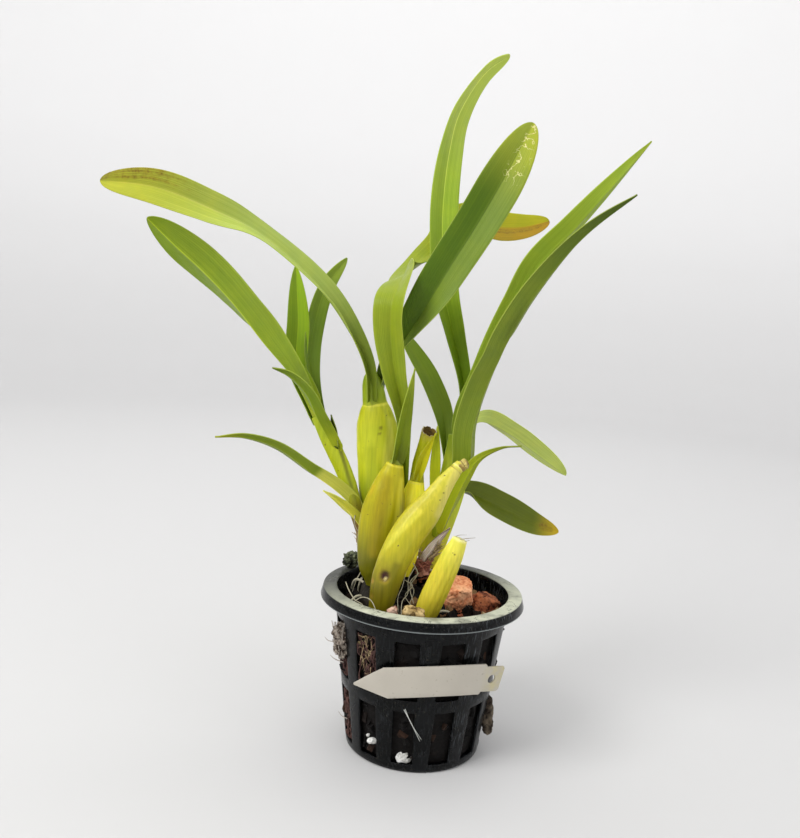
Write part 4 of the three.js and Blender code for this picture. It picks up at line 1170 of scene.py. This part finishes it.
def knocked_about(shape):
    """Cuts every chip finer and moves its corners, so that no two are alike."""
    bmesh.ops.subdivide_edges(shape, edges=shape.edges, cuts=1, use_grid_fill=True)
    for vert in shape.verts:
        vert.co += noise.noise_vector(vert.co * KNOCK_RATE) * KNOCK * MM
    bmesh.ops.recalc_face_normals(shape, faces=shape.faces)
    return shape


def mix_height(x, y):
    """The surface of the mix in mm: a low hump round the bulbs and small waves."""
    centre = math.exp(-((x + 6) ** 2 + (y - 8) ** 2) / 420)
    lumps = math.sin(0.42 * x + 1) * math.cos(0.5 * y) + 0.6 * math.sin(0.8 * x - 0.7 * y)
    return MIX_LEVEL + 6 * centre + 1.3 * lumps


def mix_finish(name, toned):
    soil = Finish(name, Specular_IOR_Level=0.25)
    grains = soil.noise(900.0, detail=6.0)
    if toned:
        tone = soil.attribute("tone")
        colour = soil.mix(soil.step(tone, 0.0, 0.45), paint("0b0908"), paint("3c281c"))
        colour = soil.mix(soil.step(tone, 0.45, 0.75), colour, paint("8a6a48"))
        colour = soil.mix(soil.step(tone, 0.75, 1.0), colour, paint("c9b088"))
        colour = soil.mix(soil.step(tone, 1.0, 1.3), colour, paint("cfcfcb"))
        colour = soil.mix(soil.step(tone, 1.6, 1.8), colour, paint("b0684a"))
    else:
        # near black: the mix's own dark colour with painted shade for the gaps between the chips
        colour = soil.mix(soil.noise(300.0), paint("050404"), paint("120d0a"))
    colour = soil.shaded(soil.step(grains, 0.3, 0.7, 0, 0.5), colour, (0.4, 0.36, 0.34))
    rough = soil.step(grains, 0, 1, 0.75, 0.95)
    return soil.finish(colour, rough, (grains, 0.3), (soil.noise(260.0), 0.4))


# %% Potting mix
def make_mix_mass():
    """Only the top is uneven: it lies a little under the chips."""
    rings = 26
    side = [(0, 2.3), (28.5, 2.3), (29.9, 4.5), (32.9, 30), (35.4, 50)]
    top = [(MIX_RADIUS * i / rings, MIX_LEVEL) for i in range(rings, -1, -1)]
    shape = turned([(radius * MM, z * MM) for radius, z in side + top], 96, "mix")
    for vert in shape.verts:
        if vert.co.z > (MIX_LEVEL - 0.1) * MM:
            x, y = vert.co.x / MM, vert.co.y / MM
            clods = 1.2 * noise.fractal(vert.co * 260, 1, 2, 3)
            vert.co.z = (mix_height(x, y) - 1.5 + clods) * MM
    return shape


keep("mix_mass", make_mix_mass(), [mix_finish("mix_dark", False)], ["potting_mix"])

# %% Loose chips
TOP_CHIPS, SLOT_CHIPS, BACK_CHIPS, EDGE_CHIPS = 230, 9, 110, 8
BACK_SLOTS = (4, 5, 6, 7, 8)


def make_chips():
    draw = random.Random(4)
    shape = bmesh.new()
    tone = shape.verts.layers.float.new("tone")
    for _ in range(TOP_CHIPS):
        radius, turn = 37 * math.sqrt(draw.random()), draw.uniform(0, 360)
        x, y, _ = heading(turn) * radius
        size = [draw.uniform(2.5, 8), draw.uniform(2, 5), draw.uniform(1.5, 4)]
        near_brick = math.hypot(x - 20, y + 2) < 14 and draw.random() < 0.3
        # painted shade: chips at the left, under the bulbs, get a quarter of their tone
        dull = 0.25 if x < -6 else 1.0
        ground = 2.0 if near_brick else draw.random() ** 2.4 * dull
        add_chip(shape, tone, (x, y, mix_height(x, y) - 0.8), size, draw, ground)
    for i in range(SLOTS):
        for low, high, _ in TIERS:
            for _ in range(SLOT_CHIPS):
                z = draw.uniform(low + 1, high - 1)
                turn = FIRST_SLOT + i * 360 / SLOTS + draw.uniform(-7, 7)
                place = heading(turn) * (wall_radius(z) - draw.uniform(3.4, 6.0))
                size = [draw.uniform(3, 7), draw.uniform(2, 4), draw.uniform(2, 4)]
                # chips deep in the slots are nearly black: painted shade inside the pot
                add_chip(shape, tone, (place.x, place.y, z), size, draw, draw.random() ** 6 * 0.5)
    for _ in range(BACK_CHIPS):
        low, high, _ = draw.choice(TIERS)
        z = draw.uniform(low + 1, high - 1)
        turn = FIRST_SLOT + draw.choice(BACK_SLOTS) * 360 / SLOTS + draw.uniform(-6, 6)
        place = heading(turn) * (wall_radius(z) - draw.uniform(2.2, 3.6))
        size = [draw.uniform(3, 6), draw.uniform(2, 4), draw.uniform(2, 3)]
        add_chip(shape, tone, (place.x, place.y, z), size, draw, draw.random() ** 1.6 * 0.95)
    for turn in (-100, -72, 80, 84):
        for _ in range(EDGE_CHIPS):
            z = draw.uniform(40, 62) if turn > 0 else draw.uniform(6, 60)
            deep = draw.uniform(1.8, 2.8) if turn > 0 else draw.uniform(0.2, 1.4)
            place = heading(turn + draw.uniform(-2, 2)) * (wall_radius(z) - deep)
            if not 30 < z < 36:
                size = [draw.uniform(2, 4), draw.uniform(1.5, 3), draw.uniform(1.5, 3)]
                add_chip(shape, tone, (place.x, place.y, z), size, draw, draw.random() ** 3)
    for place in ((-2.5, 8, 85), (1.5, 9, 84), (-0.5, 6.5, 81.5)):
        add_chip(shape, tone, place, (5, 3.4, 3), draw, 1.75)
    return knocked_about(shape)


CHIP_SKIN = mix_finish("mix_chip", True)
keep("mix_chips", make_chips(), [CHIP_SKIN], shaded_smooth=False)

# %% White crumbs
CRUMBS = [
    ((-18.6, -25.4, 11), (5.4, 2.6, 3.2)), ((-20.8, -23.4, 12.6), (2.4, 1.6, 1.6)),
    ((-4.3, -30.2, 6.3), (7.4, 3, 4.8)),
]


def make_crumbs():
    shape = bmesh.new()
    for place, size in CRUMBS:
        scale = Matrix.Diagonal((*(s * MM for s in size), 1.0))
        placed = Matrix.Translation(Vector(place) * MM) @ scale
        bmesh.ops.create_icosphere(shape, subdivisions=4, radius=0.5, matrix=placed)
    for vert in shape.verts:
        bulge, grain = (noise.noise_vector(vert.co * rate) for rate in (500, 1500))
        vert.co += (bulge * 0.5 + grain * 0.2) * MM
    bmesh.ops.recalc_face_normals(shape, faces=shape.faces)
    return shape


PALE_STONE = stone_finish("drainage_stone", "9a9a94", "d2d2ce", "efefec", 0.4)
keep("pale_crumbs", make_crumbs(), [PALE_STONE])

# %% [markdown]
# ## Roots and fibres
# Roots and straws are thin tubes. Each one starts as a flat grid that is rolled up round its route,
# thinning to its end. The seams are merged and the ends filled, so a whole tangle can live in one
# mesh.


# %% Helper: tubes
def rolled_up(shape, route, radii, sides, steps):
    """One open tube along a Route; radii in millimetres from start to end."""
    rings = []
    for i in range(steps + 1):
        v = i / steps
        forward = route.heading(v)
        upright = abs(forward.z) > 0.9
        side = (forward.orthogonal() if upright else forward.cross(Vector((0, 0, 1)))).normalized()
        spot = v * (len(radii) - 1)
        k = min(int(spot), len(radii) - 2)
        radius = lerp(radii[k], radii[k + 1], spot - k) * MM
        rings.append((route.at(v), side * radius, forward.cross(side) * radius))
    sheet = bmesh.ops.create_grid(shape, x_segments=sides, y_segments=steps, size=1.0)["verts"]
    for vert in sheet:
        turn = 2 * math.pi * (round((vert.co.x + 1) / 2 * sides) % sides) / sides
        middle, side, up = rings[round((vert.co.y + 1) / 2 * steps)]
        vert.co = middle + side * math.cos(turn) + up * math.sin(turn)


def keep_tubes(name, finish, tubes, sides, steps):
    """One piece of many tubes, given as (points, radii) in millimetres."""
    shape = bmesh.new()
    for points, radii in tubes:
        rolled_up(shape, Route(points), radii, sides, steps)
    bmesh.ops.remove_doubles(shape, verts=shape.verts, dist=1e-7)
    bmesh.ops.holes_fill(shape, edges=[e for e in shape.edges if e.is_boundary], sides=0)
    bmesh.ops.recalc_face_normals(shape, faces=shape.faces)
    keep(name, shape, [finish])


def fibre_finish(name, dark, light):
    fibre = Finish(name, Specular_IOR_Level=0.3)
    colour = fibre.mix(fibre.noise(240.0, detail=4.0), paint(dark), paint(light))
    rough = fibre.step(fibre.noise(500.0), 0, 1, 0.6, 0.85)
    return fibre.finish(colour, rough, (fibre.noise(1400.0), 0.08))


ROOT_SKIN = fibre_finish("root_skin", "8a8468", "d8d2bd")
STOCK_SKIN = fibre_finish("rhizome_skin", "0b0906", "282114")
STRAW = fibre_finish("straw", "b0b4ac", "eceeea")
COIR = fibre_finish("coir", "3a2a20", "d2c8bc")
STRANDS = fibre_finish("dry_strands", "180e12", "74524a")
CREAM_STRANDS = fibre_finish("pale_strands", "7c6440", "d2be96")

# %% Rhizome and roots
ROOTS = [
    [(-25, -4, 71), (-31, -6, 72), (-35, -8, 67), (-35, -9, 60)],
    [(-25, 4, 73), (-31, 8, 76), (-34, 12, 70), (-33, 13, 62)],
    [(-8, -15, 67), (-7, -23, 71), (-6, -29, 67), (-6, -33, 61)],
    [(1, 15, 81), (10, 15, 79), (15, 19, 71), (17, 22, 63)],
    [(-9, 17, 79), (-10, 27, 78), (-12, 32, 70), (-13, 33, 62)],
    [(-21, 12, 76), (-28, 18, 76), (-31, 19, 69), (-31, 19, 61)],
    [(1, -18, 65), (8, -13, 70), (14, -12, 68), (19, -12, 60)],
    [(-32, 16, 82), (-30.6, 12, 79.4), (-32.1, 8, 75.5), (-33, 6, 70)],
    [(-35.8, -4, 78), (-34.7, -10, 75.8), (-31.4, -18, 74), (-26.5, -26, 74.4), (-24, -29, 70)],
    [(-32.1, -20, 73), (-28.2, -20, 75.9), (-24, -22, 75.9), (-21.5, -26, 73.8), (-20, -28, 69)],
    [(-6.3, -8, 93.5), (-9.1, -10, 87.2), (-10, -14, 80.8), (-11.6, -18, 77.3), (-11, -20, 70)],
    [(-4.1, -6, 88.3), (-7.4, -8, 81.9), (-7.1, -12, 77.5), (-9.6, -18, 74.6), (-9, -22, 69)],
    [(-33, 8, 104), (-34.5, 5, 108), (-34, 4, 103), (-31, 5, 97)],
    [(-3, -9, 86), (-6.4, -12, 82.5), (-4.6, -13, 79), (-6.5, -16, 73)],
    [(-9, -12, 83), (-5.4, -13, 81), (-8.2, -15, 77), (-5, -17, 72)],
    [(-6, -7, 90), (-3.4, -10, 86), (-5.8, -13, 80.6), (-3.8, -17, 74)],
]
THICK_ROOTS, THICK, HAIR = 7, 0.6, 0.22


def wandering_roots():
    """The first roots are thick, the others hair roots; every point is moved a little."""
    draw = random.Random(9)
    for i, points in enumerate(ROOTS):
        thick = THICK if i < THICK_ROOTS else HAIR
        moved = [Vector(p) + Vector([draw.uniform(-0.6, 0.6) for _ in range(3)]) for p in points]
        yield moved, [thick, thick * 1.1, thick * 0.85, thick * 0.5]


keep_tubes("roots", ROOT_SKIN, wandering_roots(), 8, 26)
stock = bent_body(
    route=[
        (2, -18, 65), (-9, -15, 67), (-20, -13, 68), (-25, -2, 71), (-21, 12, 76), (-9, 17, 79),
        (2, 15, 81),
    ],
    radii=[(0, 3.7), (0.25, 4.6), (0.5, 4.3), (0.75, 4.7), (1, 4.2)],
    flat=1.0, edge=0.0, ribs=0.03, rows=90, dents=0.9, seed=11,
)
keep("rhizome_stock", stock, [STOCK_SKIN], ["rhizome"])

# %% [markdown]
# ## Cut sheath
# Behind the middle bulb stands the hollow foot of an old shoot that was cut off. It is a turned
# tube that widens to its mouth. The mouth is ragged and slants to the front, so that the dark
# inside shows.

# %% Cut sheath
SHEATH_MOUTH, SHEATH_FLAT, RAGGED, SLANT = 3.7, 0.8, 1.2, 3.2
SHEATH_RADII = [(0, 0), (1.6, 0.02), (2.3, 0.25), (2.8, 0.5), (3.1, 0.8), (SHEATH_MOUTH, 1)]
sheath_route = Route([(-8.5, 11, 116), (-6, 10.5, 134), (-1.5, 10.5, 151)])
sheath_shape = turned([(radius * MM, share) for radius, share in SHEATH_RADII], 32, "sheath")
sheath_tint = sheath_shape.verts.layers.float_color.new("tint")
fresh, dried = Vector(paint("b6ba12")), Vector(paint("a49830"))
for vert in sheath_shape.verts:
    v = vert.co.z
    forward, side, face = frame_on(sheath_route, FRONT, v)
    torn = noise.noise(vert.co * 900) * RAGGED if v > 0.95 else 0.0
    vert[sheath_tint] = fresh.lerp(dried, smooth((v - 0.86) / 0.14))
    front = smooth(0.5 - vert.co.y / (2 * SHEATH_MOUTH * MM))
    slant = SLANT * front * smooth((v - 0.7) / 0.3)
    section = side * vert.co.x - face * vert.co.y * SHEATH_FLAT
    vert.co = sheath_route.at(v) + section + forward * (torn - slant) * MM
sheath_inside = stone_finish("sheath_inside", "34240e", "56401c", "7a6428", 0.3)
sheath_rim = stone_finish("sheath_rim", "a8986a", "d0c494", "e4dcb8", 0.2)
sheath_skins = [BULB_SKIN, sheath_inside, sheath_rim]
sheath = keep("sheath_hollow", sheath_shape, sheath_skins, ["cut_sheath"])
thicken(sheath, 0.6, under=1, rim=2)

# %% [markdown]
# ## Plant label
# The label is a stiff cream tag, pointed at one end, with a narrow neck and a hole at the other. It
# is drawn flat first: outline and hole are filled as one face, sliced crosswise so that it can
# bend, then laid along its route round the pot, thickened and rounded. The tag stays blank.

# %% Plant label
LABEL_HEIGHT, LABEL_NECK, LABEL_THICK, LABEL_LEAN = 14.6, 12.0, 0.7, 0.128
LABEL_SLICES, HOLE_AT, HOLE_RADIUS, HOLE_SIDES = 72, 0.91, 2.1, 28
LABEL_FACES = [(-0.35, -1, 0), (0, -1, 0), (0.35, -1, 0), (0.62, -0.79, 0)]
label_route = Route([
    (-28.5, -33.5, 41.2), (-15, -37.6, 44.2), (2, -38.8, 46.5), (15, -37.2, 47.3),
    (25, -33, 46.7), (32, -28.6, 45.6), (37.2, -24.4, 44.4),
])


def closed_line(shape, points):
    """Edges through (share of length, height in metres) pairs, back to the first."""
    verts = [shape.verts.new((share, height, 0)) for share, height in points]
    return [shape.edges.new(pair) for pair in zip(verts, verts[1:] + verts[:1])]


def sliced(shape, place, direction):
    everything = shape.verts[:] + shape.edges[:] + shape.faces[:]
    bmesh.ops.bisect_plane(
        shape, geom=everything, plane_co=place, plane_no=direction, dist=1e-7
    )


def label_shape():
    shape = bmesh.new()
    half, neck = LABEL_HEIGHT / 2, LABEL_NECK / 2
    top = [
        (0.0, 0.4), (0.21, half), (0.835, half), (0.843, half - 0.5), (0.846, neck), (0.985, neck),
        (1.0, neck - 1),
    ]
    outline = top + [(x, -y) for x, y in reversed(top)]
    edges = closed_line(shape, [(x, y * MM) for x, y in outline])
    radius, length = HOLE_RADIUS * MM, label_route.length
    turns = [2 * math.pi * i / HOLE_SIDES for i in range(HOLE_SIDES)]
    hole = [(HOLE_AT + radius * math.cos(t) / length, radius * math.sin(t)) for t in turns]
    edges += closed_line(shape, hole)
    bmesh.ops.triangle_fill(shape, use_beauty=True, edges=edges)
    for i in range(1, LABEL_SLICES):
        sliced(shape, (i / LABEL_SLICES, 0, 0), (1, 0, 0))
    for i in (-2, -1, 0, 1, 2):
        sliced(shape, (0, i * half / 3 * MM, 0), (0, 1, 0))
    for vert in shape.verts:
        v, up = vert.co.x, vert.co.y
        _, side, face = frame_on(label_route, LABEL_FACES, v)
        vert.co = label_route.at(v) + side * up - face * LABEL_LEAN * up
        vert.co += face * (LABEL_THICK / 2) * MM
    bmesh.ops.recalc_face_normals(shape, faces=shape.faces)
    if sum(f.normal.y for f in shape.faces) > 0:
        bmesh.ops.reverse_faces(shape, faces=shape.faces)
    return shape


def label_finish():
    tag = Finish("label_cream", Specular_IOR_Level=0.4)
    clouds = tag.noise(90.0, detail=4.0)
    colour = tag.mix(clouds, paint("b5afa3"), paint("c4beb2"))
    aged = tag.step(tag.x, 0.027, 0.033, 0, 0.8)
    stained = tag.times(aged, tag.step(tag.noise(300.0, detail=5.0), 0.3, 0.7))
    colour = tag.mix(stained, colour, paint("c6bd92"))
    dirt = tag.step(tag.noise(700.0, detail=5.0), 0.64, 0.75, 0, 0.5)
    colour = tag.mix(dirt, colour, paint("8a7f68"))
    rough = tag.step(clouds, 0, 1, 0.42, 0.6)
    return tag.finish(colour, rough, (clouds, 0.08), (tag.noise(900.0), 0.02))


label = keep("tag", label_shape(), [label_finish()], ["plant_label"])
thicken(label, LABEL_THICK)
rounded(label, 0.15, 50)

# %% [markdown]
# ## Fibres
# Loose fibres tell that the plant has lived in its pot. Strands fill the slots at the left, and a
# clump of them bulges out of the upper one. A double straw sticks to the front, and whiskers stand
# out at the left side and at the cut bulb. Short shreds of old sheath stand round the shoots' feet.


# %% Strands in the slots
def tangle(name, finish, degrees, levels, wide, deep, count, thick, seed):
    """Strands that fill a box at the wall: `deep` goes from inside to outside of the wall."""
    draw = random.Random(seed)
    out, across = heading(degrees), heading(degrees + 90)
    tubes = []
    for _ in range(count):
        height, beside, depth = (draw.uniform(*b) for b in (levels, (-wide, wide), deep))
        points = []
        for _ in range(4):
            z = min(max(height, levels[0]), levels[1])
            radius = wall_radius(z) + min(max(depth, deep[0]), deep[1])
            place = out * radius + across * min(max(beside, -wide), wide)
            points.append(Vector((place.x, place.y, z)))
            height += draw.uniform(-5, 3)
            beside += draw.uniform(-2, 2)
            depth += draw.uniform(-1, 1)
        if min((q - p).length for p, q in zip(points, points[1:])) > 0.3:
            tubes.append((points, [thick * 0.7, thick, thick * 0.5]))
    keep_tubes(name, finish, tubes, 5, 9)


tangle("fibre_tangle", COIR, -69, (46, 61.5), 4.4, (-2.5, 3.0), 170, 0.24, 21)
tangle("strands_mid", STRANDS, -69, (37, 48), 4.8, (-4, -0.2), 80, 0.42, 27)
tangle("strands_dark", STRANDS, -39, (37, 62.5), 5.2, (-3.6, -0.6), 110, 0.42, 22)
tangle("strands_pale", CREAM_STRANDS, -40, (44, 62), 4.2, (-2.2, -0.4), 26, 0.17, 23)
tangle("strands_left", STRANDS, -69, (5, 29), 4.4, (-4, -0.2), 110, 0.42, 24)
tangle("strands_far", STRANDS, -99, (37, 62.5), 5.0, (-4, -0.2), 110, 0.45, 25)
tangle("strands_low", STRANDS, -99, (5, 29), 4.4, (-4, -0.2), 110, 0.42, 26)
rough_copy("fibre_core", "fibre_clump", FELT, 8, 1.4, 0.9, 9)


# %% Straws and whiskers
def wall_spot(degrees, z, off=0.3):
    place = heading(degrees) * (wall_radius(z) + off)
    return Vector((place.x, place.y, z))


STRAWS = [
    ([wall_spot(-8.9, 31.8, 0.4), wall_spot(-3.2, 25.6, 0.6), wall_spot(4.0, 16.8, 0.3)], 0.2),
    ([wall_spot(-8.2, 32.2, 0.3), wall_spot(-3.4, 25.8, 0.9), wall_spot(5.0, 17.8, 0.7)], 0.16),
]
WHISKERS = [
    ([wall_spot(-70, 52, 2), wall_spot(-76, 51, 5), wall_spot(-84, 50.4, 6.5)], 0.2),
    ([wall_spot(-66, 43), wall_spot(-74, 42.6, 3.0), wall_spot(-80, 42.8, 4.6)], 0.24),
    ([wall_spot(-66, 15), wall_spot(-74, 14.2, 1.6), wall_spot(-80, 14.6, 2.6)], 0.24),
    ([(12, -23, 106.4), (16.5, -23.6, 107.6), (20.7, -24, 108.4)], 0.22),
    ([(13.4, -22, 106.4), (16, -22.8, 106.2), (18.3, -23.2, 106.8)], 0.2),
    ([(10, -22, 106), (13, -21.5, 108.2), (17, -22, 108.9)], 0.14),
]
straws = [(points, [r * 0.7, r, r * 0.5]) for points, r in STRAWS]
whiskers = [(points, [r, r * 0.9, r * 0.4]) for points, r in WHISKERS]
keep_tubes("straws", STRAW, straws, 6, 14)
keep_tubes("whiskers", COIR, whiskers, 6, 14)


# %% Shreds of old sheath
def shreds(name, finish, bundles, thick, seed):
    """Short curved shreds; each bundle is (low end, high end, how many)."""
    draw = random.Random(seed)
    tubes = []
    for low, high, count in bundles:
        for _ in range(count):
            share = draw.uniform(0, 0.6)
            points = []
            for step in (0, 0.18, 0.38):
                spread = 0.8 + step * 4
                shift = Vector([draw.uniform(-spread, spread) for _ in range(3)])
                points.append(Vector(low).lerp(Vector(high), share + step) + shift)
            tubes.append((points, [thick * 0.4, thick, thick * 0.25]))
    keep_tubes(name, finish, tubes, 5, 9)


DRY_BUNDLES = [
    ((1, 9, 84), (9, 4.5, 100), 34), ((-27, 6.5, 82), (-34, 8, 101), 30),
    ((-5.4, 8, 86), (-2.6, 7, 92), 24),
]
RED_BUNDLES = [((-4, 6, 81), (3.5, 5.5, 88), 46), ((3, 6, 80), (-4, 6, 88), 40)]
RED_SHREDS = fibre_finish("red_shreds", "3a1a14", "b87460")
shreds("dry_fibres", CREAM_STRANDS, DRY_BUNDLES, 0.32, 31)
shreds("red_fibres", RED_SHREDS, RED_BUNDLES, 0.36, 32)
